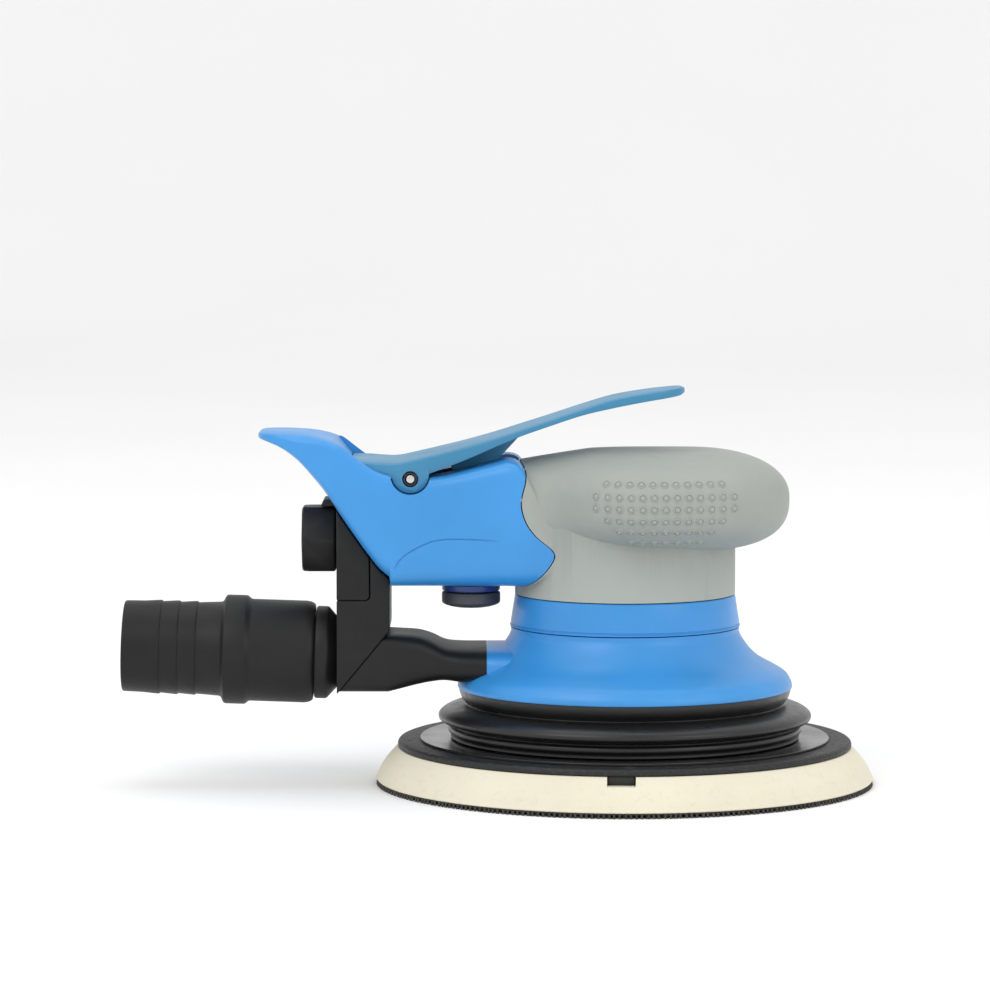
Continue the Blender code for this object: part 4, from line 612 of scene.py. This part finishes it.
def lever_sections(inset, drop, reach_down):
    found = []
    for x, top, bottom, share in smooth_line(LEVER, 4):
        top = min(top, 119.9)
        half = max(LEVER_HALF * share - inset, 0.6)
        low = reach_down if reach_down else min(bottom, top - 0.6)
        crown = 0.9 * share
        edge = top - drop - crown
        across = [
            (1.0, 1.0), (0.975, 0.62), (0.93, 0.40), (0.86, 0.26), (0.72, 0.13), (0.5, 0.04), (0.25, 0.0),
        ]
        line = [(half * u, top - drop - crown * v) for u, v in across]
        line += [(-y, z) for y, z in line[::-1]]
        found.append([(x, -half, low), (x, half, low)] + [(x, y, max(z, edge)) for y, z in line])
    return found


def make_lever():
    lever = loft("lever_channel", lever_sections(0.0, 0.0, None))
    channel = lever_sections(FLANGE, LEVER_PLATE, 80.0)
    keep = [s for s in channel if s[0][0] < 6.5]
    front = [[(x - 5.0, y, z) for x, y, z in keep[0]]]
    boolean(lever, "DIFFERENCE", loft("cut_channel", front + keep[1:]))
    outline = [(PIVOT.x + EAR_RADIUS, EAR_TOP), (PIVOT.x - EAR_RADIUS, EAR_TOP)]
    for k in range(41):
        a = pi + pi * k / 40
        outline.append((PIVOT.x + EAR_RADIUS * cos(a), PIVOT.z + EAR_RISE + EAR_RADIUS * sin(a)))
    ears = [
        plate(f"cut_lever_ear{side}", outline, *sorted((side * LEVER_HALF, side * (LEVER_HALF - FLANGE))))
        for side in (-1, 1)
    ]
    boolean(lever, "UNION", *ears, plate("cut_pusher", PUSHER, -5.5, 5.5))
    boolean(lever, "DIFFERENCE", rod("cut_lever_pin", 2.4, (PIVOT.x, -30, PIVOT.z), (PIVOT.x, 30, PIVOT.z)))
    rounded(lever, 0.35, 2, 40)
    show(lever, "lever", "lever_blue", "lever")
    for side, name in ((-1, "front"), (1, "rear")):
        start = (PIVOT.x, side * (LEVER_HALF - FLANGE + 0.1), PIVOT.z)
        far = (PIVOT.x, side * LEVER_HALF, PIVOT.z)
        bush = ring(f"pivot_bush_{name}", 1.55, 2.1, 0.0, FLANGE - 0.2, 64, 0.15, along(start, far))
        show(bush, "lever", "black_rubber", f"lever_bush_{name}")
    end = LEVER_HALF - 0.2
    profile = [(0.0, end), (0.75, end), (1.15, end - 0.12), (1.4, end - 0.45)]
    profile += [(r, -z) for r, z in profile[::-1]]
    pin = turned("pivot_pin", profile, 64, along(PIVOT, PIVOT + Vector((0, 1, 0))))
    show(pin, "root", "steel", "lever_pin")


# ------------------------------------------------------------------ regulator, inlet

def make_regulator():
    at = Matrix.Translation((-46.3, 0, 0))
    neck, groove, top = 6.1, 4.7, 66.2
    knob = [
        (0.0, top), (neck - 0.3, top), (neck, top - 0.3), (neck, 64.6), (groove, 64.6), (groove, 62.6),
        (neck, 62.6), (neck, 58.2), (8.3, 58.2), (8.66, 58.05), (8.8, 57.7), (8.8, 55.3), (8.7, 54.95),
        (8.3, 54.6), (7.4, 54.2), (6.2, 53.85), (4.8, 53.6), (3.0, 53.42), (1.5, 53.32), (0.0, 53.3),
    ]
    cap = turned("regulator_cap", knob, FINE, at)
    boolean(cap, "DIFFERENCE", block("cut_driver_slot", (-52.0, -0.6, 52.7), (-40.6, 0.6, 54.4)))
    show(cap, "regulator", "grey_plastic", "regulator_knob")
    # Its navy colour is partly the collar's own and partly painted shade in the gap between the knob and the
    # handle.
    collar = ring("regulator_collar", 6.5, 8.7, 58.6, 60.6, FINE, 0.25, at)
    show(collar, "root", "navy_plastic", "regulator_ring")


INLET_Z, INLET_LEFT, INLET_RIGHT = 74.3, -96.9, -86.7


def make_inlet():
    at = Matrix.Translation((INLET_LEFT, 0, INLET_Z)) @ Matrix.Rotation(pi / 2, 4, "Y")
    across = 19.3 / 2 / cos(pi / 6)
    length = INLET_RIGHT - INLET_LEFT
    hexagon = turned("inlet_hexagon", [(0.0, length), (across, length), (across, 0.0), (0.0, 0.0)], 6,
                     at @ Matrix.Rotation(pi / 2, 4, "Z"))
    rounded(hexagon, 0.8, 4)
    cone = turned("cut_cone", [
        (0.0, -1.0), (across - 1.3, -1.0), (across - 1.3, 0.0), (across - 0.7, 0.5), (across - 0.6, 1.7),
        (across + 0.5, 2.0), (across + 0.6, 2.2), (across + 0.6, length + 1),
        (0.0, length + 1),
    ], FINE, at)
    boolean(hexagon, "INTERSECT", cone)
    stem = rod("cut_stem", 7.8, (INLET_RIGHT - 1, 0, INLET_Z), (-66.0, 0, INLET_Z), 96)
    boolean(hexagon, "UNION", stem)
    bore = rod("cut_bore", 5.6, (INLET_LEFT - 5, 0, INLET_Z), (-61.0, 0, INLET_Z), 96)
    mouth = rod("cut_mouth", 7.2, (INLET_LEFT - 1, 0, INLET_Z), (INLET_LEFT + 2, 0, INLET_Z), 96, 5.6)
    grooves = [
        turned(f"cut_thread_{k}", [(5.2, 0.25), (6.2, 0.0), (5.2, -0.25)], 96,
               at @ Matrix.Translation((0, 0, 3.2 + 1.3 * k)))
        for k in range(9)
    ]
    groove = turned("cut_band", [(11.0, 0.35), (11.0, 0.0), (13.0, 0.0), (13.0, 0.35)], 96,
                    at @ Matrix.Translation((0, 0, length - 1.6)))
    boolean(hexagon, "DIFFERENCE", bore, mouth, groove, *grooves)
    show(hexagon, "root", "black_plastic", "inlet_bushing")


# ------------------------------------------------------------------ exhaust and dust path

BLOCK_LEFT, BLOCK_RIGHT, BLOCK_HALF = -86.3, -70.5, 15.0
SPLIT_X, SPLIT_Z = -76.4, 56.9
HOSE_ORIGIN = Vector((BLOCK_LEFT, 0, 39.6))
HOSE_TILT = radians(1.9)
HOSE = Matrix.Translation(HOSE_ORIGIN) @ Matrix.Rotation(HOSE_TILT - pi / 2, 4, "Y")
SEAM_LOW, SEAM_HIGH = Vector((-86.3, 0, 28.7)), Vector((-70.5, 0, 47.8))
DUCT = [  # x, top, bottom, half-width, squareness
    (-71.0, 46.3, 29.0, 15.0, 7.0), (-67.0, 46.2, 29.9, 15.2, 5.5), (-62.0, 45.9, 31.1, 15.8, 4.5),
    (-58.0, 44.7, 31.9, 16.8, 4.0), (-54.0, 42.9, 32.3, 18.0, 3.5), (-49.0, 42.4, 31.7, 19.2, 3.2),
    (-41.6, 42.4, 31.2, 20.0, 3.0),
]


def handle_edge(x):
    return follow([(station[0], station[2]) for station in HANDLE], x) - 0.3


def corner_arc(x, z, radius, steps=6):
    """The rounded lower right corner of the inlet block."""
    angles = [radians(-90 + 90 * k / steps) for k in range(steps + 1)]
    return [(x - radius + radius * cos(a), z + radius + radius * sin(a)) for a in angles]


def make_block_and_elbow():
    gap = 0.12
    stem = rod("cut_stem", 8.1, (-200, 0, INLET_Z), (100, 0, INLET_Z), 96)
    upper = [(BLOCK_LEFT, SPLIT_Z)] + corner_arc(SPLIT_X - gap, SPLIT_Z, 1.4)
    upper += [(SPLIT_X - gap, handle_edge(SPLIT_X)), (-79.0, handle_edge(-79.0)), (-81.8, handle_edge(-81.8)),
              (-84.8, handle_edge(-84.8)), (BLOCK_LEFT, handle_edge(BLOCK_LEFT))]
    holder = plate("inlet_holder", upper, -BLOCK_HALF, BLOCK_HALF)
    tongue = [
        (-91.2, 84.5), (-90.4, 86.3), (-84.8, 86.3), (-84.8, 80.6), (BLOCK_LEFT, 80.6), (BLOCK_LEFT, 84.5),
    ]
    boolean(holder, "UNION", plate("cut_tongue", tongue, -8.0, 8.0))
    rounded(holder, 0.45, 3)
    boolean(holder, "DIFFERENCE", copy_of(stem, "cut_stem_copy"))
    show(holder, "root", "black_plastic", "inlet_block")

    low = SPLIT_Z - gap
    lower = [tuple(SEAM_LOW.xz), tuple(SEAM_HIGH.xz), (BLOCK_RIGHT, handle_edge(BLOCK_RIGHT) - 0.2)]
    lower += [(-73.6, handle_edge(-73.6)), (SPLIT_X + gap, handle_edge(SPLIT_X))]
    lower += [(x, z) for x, z in corner_arc(SPLIT_X + gap, low, 1.5)[::-1]] + [(BLOCK_LEFT, low)]
    elbow = plate("dust_elbow", lower, -BLOCK_HALF, BLOCK_HALF)
    rounded(elbow, 0.45, 3)
    neck = [
        (0.0, 24.0), (11.7, 24.0), (12.2, 23.5), (12.2, 22.4), (11.2, 22.4), (11.2, 20.8), (12.2, 20.8),
        (12.2, 6.8), (13.4, 6.8), (13.75, 6.6), (13.9, 6.2), (13.9, 3.6), (13.75, 3.1), (13.0, 2.4),
        (10.6, 0.3), (10.3, 0.0), (10.3, -0.4), (0.0, -0.4),
    ]
    boolean(elbow, "UNION", turned("cut_neck", neck, FINE, HOSE))
    bore = turned("cut_bore", [(0.0, -13.4), (0.0, 30.0), (9.6, 30.0), (9.6, -13.4)], MEDIUM, HOSE)
    slot = block("cut_slot", (-75.6, -12.8, 39.6), (-71.9, 12.8, 200.0))
    boolean(elbow, "DIFFERENCE", bore, slot, stem)
    show(elbow, "root", "black_plastic", "exhaust_elbow")


def duct_bores(stations, inset):
    return [
        section(x, top - inset, low + inset, half - inset, max(2.4, power * 0.6))
        for x, top, low, half, power in stations
    ]


def shroud_side():
    side = [
        (34.2, 46.6), (35.1, 44.6), (37.7, 41.0), (40.9, 38.2), (45.3, 35.8), (48.6, 33.7), (50.1, 31.3),
    ]
    return [(34.4, 47.8)] + smooth_line(side, 6) + [(50.4, 30.0), (50.25, 29.5)]


def make_duct():
    stations = [(-90.0, *DUCT[0][1:])] + smooth_line(DUCT, 5)
    inner = duct_bores(stations, 2.2)
    inner.insert(0, [(x - 5, y, z) for x, y, z in inner[0]])
    inner.append([(x + 5, y, z) for x, y, z in inner[-1]])
    duct = loft("dust_duct", [section(*station) for station in stations])
    down = (SEAM_HIGH - SEAM_LOW)
    across = Vector((down.z, 0, -down.x)).normalized() * 0.2
    low, high = SEAM_LOW + across - down, SEAM_HIGH + across + down
    beyond = plate("cut_beyond", [tuple(low.xz), tuple(high.xz), (-200, high.z), (-200, low.z)], -50, 50)
    flare = [(r + 0.2, z + 0.2) for r, z in shroud_side()]
    clear = turned("cut_flare", [(0.0, 60.0), (34.6, 60.0)] + flare + [(50.6, 10.0), (0.0, 10.0)], FINE)
    boolean(duct, "DIFFERENCE", loft("cut_duct_bore", inner), beyond, clear)
    show(duct, "root", "black_plastic", "vacuum_duct")


def make_shroud():
    side = shroud_side()
    shroud = turned("dust_shroud_skin", [(0.0, side[0][1])] + side + [(0.0, 29.5)], FINE)
    _, top, low, half, power = DUCT[-1]
    spigot = loft("cut_spigot", [section(x, top, low, half, power) for x in (-41.52, -28.0)])
    room_side = [(r - 2.0, z - 1.4) for r, z in side[9:-2]]
    room = turned(
        "cut_room",
        [(0.0, 60.0), (26.8, 60.0), (26.8, 45.2), (32.2, 45.2)] + room_side + [(48.4, 0.0), (0.0, 0.0)],
        FINE,
    )
    boolean(shroud, "UNION", spigot)
    boolean(shroud, "DIFFERENCE", room)
    into_room = (-30.0, *DUCT[-1][1:])
    boolean(shroud, "UNION", loft("cut_nipple", duct_bores([*DUCT[-2:], into_room], 2.5)))
    hole = loft("cut_hole", duct_bores([*DUCT[-3:], into_room], 3.8))
    core = ring("cut_core", 0.0, 32.0, 0.0, 45.2, FINE)
    boolean(shroud, "DIFFERENCE", core, hole)
    rounded(shroud, 0.25, 2, 50)
    show(shroud, "root", "blue_composite", "dust_shroud")


def make_collar():
    profile = [
        (30.0, 57.6), (32.85, 57.6), (33.1, 57.35), (34.35, 49.4), (34.3, 49.15), (34.1, 49.0), (34.1, 48.75),
        (34.45, 48.6), (34.6, 48.4), (34.55, 48.15), (34.3, 48.1), (30.0, 48.1),
    ]
    show(turned("collar", profile, FINE), "root", "blue_composite", "lock_ring")


def make_cuff():
    bore, step, end = 12.6, 26.0, 64.6
    barbs = []
    for start in (end - 11.4, end - 16.8, end - 22.2):
        barbs += [
            (13.8, start + 5.2), (14.15, start + 0.7), (14.12, start + 0.35), (14.0, start + 0.1),
            (13.8, start),
        ]
    collar_out = end - 30.8
    collar_in = collar_out - 6.0
    outer = [(13.1, end), (13.45, end - 0.1), (13.65, end - 0.4), (13.7, end - 0.9)] + barbs + [
        (14.2, collar_out + 1.6), (14.5, collar_out + 1.1), (15.9, collar_out + 0.4),
        (16.25, collar_out + 0.1),
        (16.4, collar_out - 0.4), (16.4, collar_in + 0.2), (16.3, collar_in - 0.2), (15.5, collar_in - 1.2),
        (15.38, collar_in - 1.5), (15.35, collar_in - 1.9), (15.35, 9.9), (15.2, 8.8), (14.9, 7.9),
        (14.5, 7.35),
        (14.2, 7.2),
    ]
    inner = [(bore, 7.2), (bore, step), (11.6, step + 1.0), (11.6, end - 0.6), (11.9, end)]
    cuff = turned("swivel_cuff", outer + inner, FINE, HOSE)
    show(cuff, "hose_cuff", "black_plastic", "hose_cuff", sharp=28)


def make_boot():
    lip, top = 30.6, 29.35
    inside = 47.6
    outer = [
        (50.0, top), (49.9, 28.6), (49.6, 27.6), (49.1, 26.4), (48.3, 25.3), (47.9, 24.8), (48.4, 24.5),
        (50.6, 24.2), (53.6, 23.3), (55.2, 22.4), (56.0, 21.5), (56.1, 20.7), (55.8, 20.0), (54.6, 19.3),
        (52.9, 18.9), (52.2, 18.5), (52.4, 18.1), (52.9, 17.8), (53.15, 17.3), (53.15, 16.5), (52.7, 15.9),
        (52.4, 15.4), (52.4, 14.6),
    ]
    inner = [
        (50.8, 14.5), (50.8, 16.6), (50.0, 18.4), (50.0, 19.4), (53.6, 20.8), (46.2, 23.2), (46.2, 25.6),
        (inside - 1.6, 27.4), (inside - 1.6, lip),
    ]
    profile = [(inside, lip), (inside, top)] + smooth_line(outer, 4) + inner
    show(turned("bellows", profile, FINE), "root", "black_rubber", "dust_boot")


# ------------------------------------------------------------------ pad

PAD_CENTRE = Vector((0, 2.5, 0))
PAD = Matrix.Translation(PAD_CENTRE)
PAD_RADIUS, PLATE_RADIUS = 75.0, 68.4
NOTCH_START = radians(-92.3)


def on_circle(count, radius, start=0.0):
    for k in range(count):
        a = start + 2 * pi * k / count
        yield a, PAD_CENTRE.x + radius * cos(a), PAD_CENTRE.y + radius * sin(a)


def dust_holes():
    return [rod(f"cut_hole_{k}", 5.0, (x, y, -5), (x, y, 25), 48)
            for k, (_, x, y) in enumerate(on_circle(6, 40.0, pi / 6))]


def make_hooks():
    """The hook sheet: a thin backing with rows of small tapered hooks that stand out at the rim."""
    sheet = ring("hook_sheet", 0.0, 74.3, 1.1, 1.6, FINE, 0.1, PAD)
    boolean(sheet, "DIFFERENCE", *dust_holes())
    show(sheet, "pad", "hook_face", "hook_face")
    points, faces = [], []
    centres = [(x - PAD_CENTRE.x, y - PAD_CENTRE.y) for _, x, y in on_circle(6, 40.0, pi / 6)]
    radius = 74.45
    while radius > 2.0:
        fine = radius > 71.0
        pitch = 1.6 if fine else 2.1
        count = int(2 * pi * radius / pitch)
        for k in range(count):
            a = 2 * pi * (k + 0.5 * (int(radius * 2) % 2)) / count + rng.uniform(-0.15, 0.15) * pitch / radius
            x, y = radius * cos(a), radius * sin(a)
            if any((x - cx) ** 2 + (y - cy) ** 2 < 5.5**2 for cx, cy in centres):
                continue
            lean = rng.uniform(0.15, 0.5) if radius > 74.0 else rng.uniform(-0.2, 0.2)
            tip = rng.uniform(0.0, 0.12)
            out, turn = Vector((cos(a), sin(a), 0)), Vector((-sin(a), cos(a), 0))
            base = len(points)
            for half, z, shift in ((0.26, 1.2, 0.0), (0.19, 0.55, lean * 0.4), (0.25, tip, lean)):
                for u, v in ((-1, -1), (1, -1), (1, 1), (-1, 1)):
                    wide = half * (1.3 if fine else 1.0)
                    p = Vector((x, y, z)) + out * (u * half + shift) + turn * (v * wide)
                    reach = Vector((p.x, p.y, 0)).length
                    if reach > 74.98:
                        p.x, p.y = p.x * 74.98 / reach, p.y * 74.98 / reach
                    points.append(tuple(p + PAD_CENTRE))
            for level in (0, 4):
                for i in range(4):
                    j = (i + 1) % 4
                    here, beside = base + level + i, base + level + j
                    faces.append([here, beside, beside + 4, here + 4])
            faces.append([base + 8 + i for i in range(4)])
            faces.append([base + i for i in range(4)][::-1])
        radius -= 1.15 if fine else 1.9
    show(from_data("hook_pile", points, faces), "pad", "hook_face")


def make_pad():
    make_hooks()
    low, high = 1.6, 11.2
    side = []
    for i in range(17):
        share = i / 16
        r = PLATE_RADIUS + (PAD_RADIUS - PLATE_RADIUS) * share + 0.9 * sin(pi * share)
        side.append((min(r, PAD_RADIUS), high + (low - high) * share))
    side[-1] = (PAD_RADIUS - 0.25, low)
    side.insert(-1, (PAD_RADIUS, low + 0.35))
    foam = turned("pad_cushion", [(0.0, high)] + side + [(0.0, low)], 192, PAD)
    notches = []
    for k, (a, x, y) in enumerate(on_circle(3, PLATE_RADIUS, NOTCH_START)):
        notch = block(f"cut_notch_{k}", (-4.0, -4.15, 8.6), (4.0, 4.15, 20.0))
        notch.data.transform(Matrix.Translation(Vector((x, y, 0)) * MM) @ Matrix.Rotation(a, 4, "Z"))
        notches.append(notch)
    boolean(foam, "DIFFERENCE", *dust_holes(), *notches)
    rounded(foam, 0.15, 2, 50)
    show(foam, "pad", "cream_foam", "pad_foam")

    rim = [
        (0.0, 13.3), (67.0, 13.3), (67.5, 13.27), (67.95, 13.1), (68.25, 12.8), (68.4, 12.4), (68.4, 11.8),
        (68.2, 11.45), (67.9, 11.3), (0.0, 11.3),
    ]
    backing = turned("backing_plate", rim, 192, PAD)
    boolean(backing, "DIFFERENCE", *dust_holes())
    show(backing, "pad", "pad_plate_black", "pad_plate")
    show(ring("backing_ring", 49.0, 61.6, 13.3, 14.1, 192, 0.15, PAD), "pad", "smooth_black", "pad_ring")
    for k, (angle, x, y) in enumerate(on_circle(3, PLATE_RADIUS - 2.2, NOTCH_START)):
        plug = block(f"notch_latch_{k}", (-1.9, -3.7, 8.75), (1.2, 3.7, 11.25))
        plug.data.transform(Matrix.Translation(Vector((x, y, 0)) * MM) @ Matrix.Rotation(angle, 4, "Z"))
        rounded(plug, 0.3, 2)
        show(plug, "pad", "pad_plate_black")


# ------------------------------------------------------------------ studio

def make_studio():
    floor, back, curve = -3.0, 3.2, 0.9
    line = [(floor, 0.0), (back - curve, 0.0)]
    for a in range(10, 91, 10):
        line.append((back - curve + curve * sin(radians(a)), curve - curve * cos(radians(a))))
    line.append((back, 3.5))
    points = [(x, y, z) for x in (-4.0, 4.0) for y, z in line]
    count = len(line)
    faces = [[i, i + 1, count + i + 1, count + i] for i in range(count - 1)]
    mesh = bpy.data.meshes.new("floor")
    mesh.from_pydata(points, [], faces)
    mesh.shade_smooth()
    sheet = new_object("floor", mesh)
    n = Nodes("floor_paper")
    tone = n.spread(n.noise(3.0, 4.0), 0.0, 1.0)
    base = n.blend(tone, (0.94, 0.94, 0.94), (0.96, 0.96, 0.96))
    sheet.data.materials.append(n.link(Base_Color=base, Roughness=0.9, Specular_IOR_Level=0.2))

    world = bpy.data.worlds.new("studio")
    world.use_nodes = True
    world.node_tree.nodes["Background"].inputs["Color"].default_value = (1.0, 1.0, 1.0, 1.0)
    world.node_tree.nodes["Background"].inputs["Strength"].default_value = 0.9
    bpy.context.scene.world = world
    lights = [  # name, place, aim, width, height, power
        ("key", (-0.9, -1.1, 1.3), (0.0, 0.0, 0.06), 1.2, 1.0, 8.0),
        ("fill", (1.2, -1.2, 0.7), (0.0, 0.0, 0.06), 1.0, 1.0, 4.0),
        ("top", (0.0, 0.2, 1.5), (0.0, 0.0, 0.0), 1.4, 1.0, 4.0),
    ]
    for name, place, aim, width, height, power in lights:
        data = bpy.data.lights.new(name, "AREA")
        data.shape = "RECTANGLE"
        data.size, data.size_y = width, height
        data.energy = power
        lamp = new_object(name, data)
        lamp.location = place
        lamp.rotation_euler = (Vector(aim) - Vector(place)).to_track_quat("-Z", "Y").to_euler()

    camera = bpy.data.cameras.new("camera")
    camera.sensor_width = 36.0
    camera.lens = 36.0 * 4600 / 990
    eye = new_object("camera", camera)
    eye.location = (-0.0391, -1.377, 0.2009)
    eye.rotation_euler = (pi / 2 - radians(4.72), 0.0, 0.0)
    bpy.context.scene.camera = eye
    bpy.context.scene.view_settings.view_transform = "Standard"


make_studio()
make_housing()
make_dimples(make_grip())
make_lever()
make_regulator()
make_inlet()
make_block_and_elbow()
make_duct()
make_cuff()
make_collar()
make_shroud()
make_boot()
make_pad()
